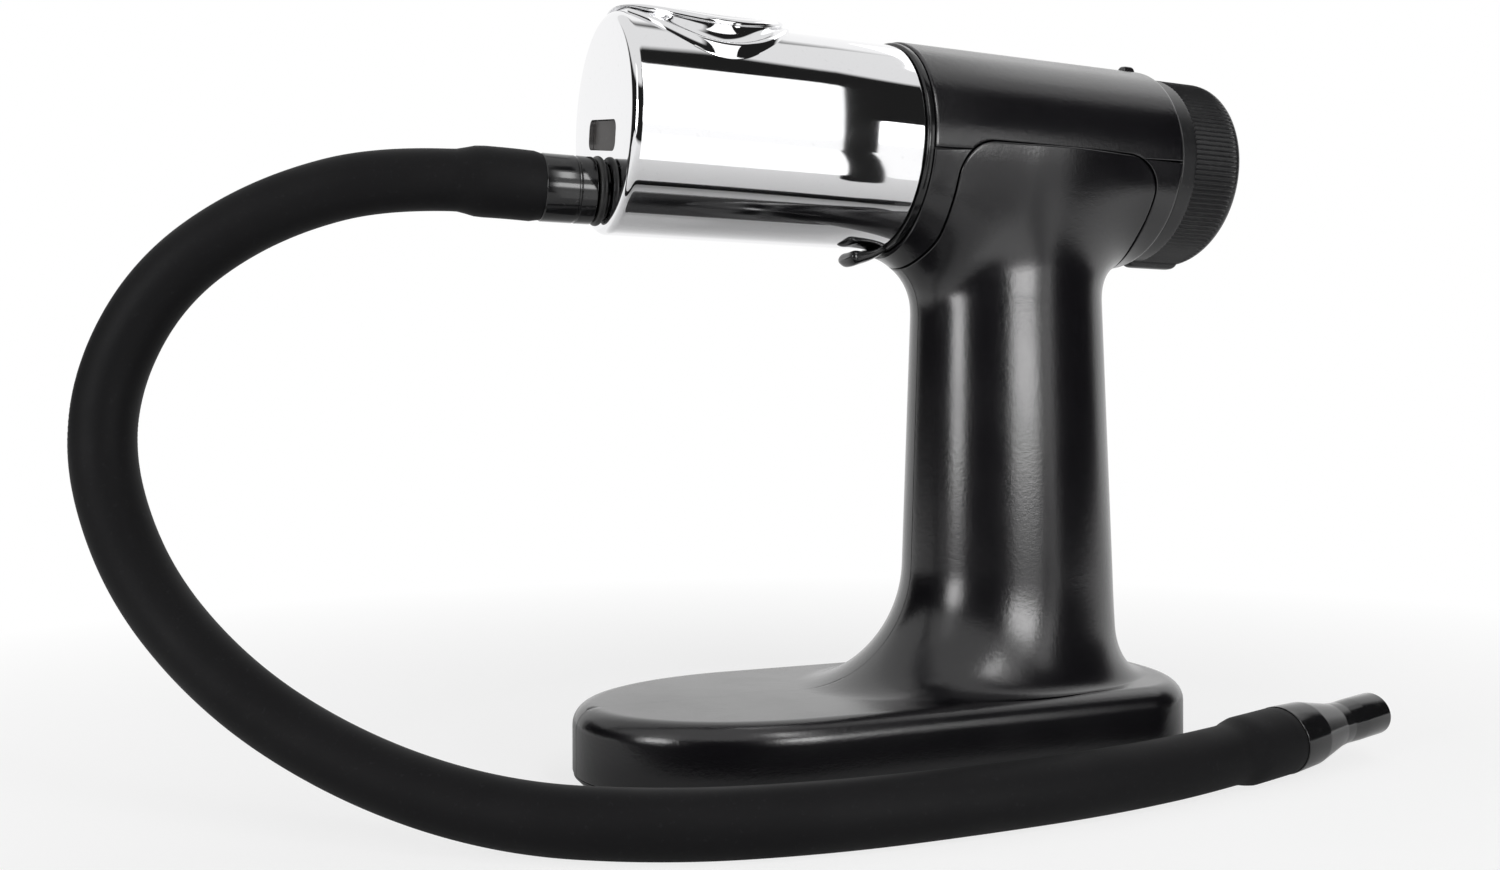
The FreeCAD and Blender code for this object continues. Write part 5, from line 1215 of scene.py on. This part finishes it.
MAIN_REACH = 500.0
STRIP_REACH = 700.0
CORE_AHEAD = 2.0
SHEET_WHITE = 1.35
CORE_WHITE = 9.5
STRIP_WHITE = 9.0
RIGHT_WHITE = 2.2
arc = MAIN_REACH * math.pi / 180.0
box_low = -22.0 * arc
main_fold = around_gun_line(MAIN_REACH)
core_fold = around_gun_line(MAIN_REACH - CORE_AHEAD)
soft_box("main_box", rounded_sheet(-25.0, 203.0, box_low, 52.0 * arc, 30.0), main_fold, SHEET_WHITE)
soft_box("main_core", rounded_sheet(-24.0, 186.0, box_low, 7.0 * arc, 30.0), core_fold, CORE_WHITE)
soft_box("high_core", rounded_sheet(0.0, 60.0, 24.0 * arc, 46.0 * arc, 15.0), core_fold, CORE_WHITE)
soft_box("right_box", rounded_sheet(260.0, 350.0, box_low, 17.0 * arc, 14.0), main_fold, RIGHT_WHITE)
strip_arc = STRIP_REACH * math.pi / 180.0
strip_left, strip_right = -73.0 * strip_arc, -57.0 * strip_arc
soft_box("left_strip", rounded_sheet(strip_left, strip_right, 20.0, 700.0, 40.0), around_handle(STRIP_REACH),
         SHEET_WHITE)
soft_box("left_core", rounded_sheet(strip_left, strip_right, 20.0, 300.0, 40.0),
         around_handle(STRIP_REACH - CORE_AHEAD), STRIP_WHITE)


def overhead(height):
    """Carry (across, up) onto a level sheet at a height, with up as the distance away from the camera's side."""
    def fold(points):
        return np.stack((points[..., 0], points[..., 1], np.full(points.shape[:-1], height)), axis=-1)
    return fold


def rounded_patch(corners, radius):
    """Outline of a patch with four corners, each rounded."""
    corners = np.asarray(corners, float)
    start = (corners[-1] + corners[0]) / 2.0
    line = np.c_[np.vstack((start, corners, start)), np.r_[0.0, np.full(len(corners), radius), 0.0]]
    return evenly(rounded_profile(line), 181)[:-1]


CARD_ROUND = 12.0
CARDS = (("table_card", ((-51.0, -165.0), (75.0, -165.0), (208.0, -498.0), (-25.0, -498.0)), 1.0, SHEET_WHITE),
         ("side_card", ((108.0, -165.0), (172.0, -165.0), (355.0, -490.0), (260.0, -490.0)), 1.0, 1.2),
         ("gap_card", ((58.0, -135.0), (94.0, -135.0), (268.0, -515.0), (206.0, -515.0)), 0.6, DIM_ROOM))
# The cards give no diffuse light and no shadow: they are painted reflections only, the gap card a painted dark stripe.
for name, corners, height, strength in CARDS:
    card = soft_box(name, rounded_patch(corners, CARD_ROUND), overhead(height), strength, strength)
    card.visible_diffuse = False
TOP_HEIGHT = 650.0
TOP_WHITE = 1.6
soft_box("top_box", rounded_sheet(285.0, 800.0, -60.0, 450.0, 60.0), overhead(TOP_HEIGHT), TOP_WHITE)
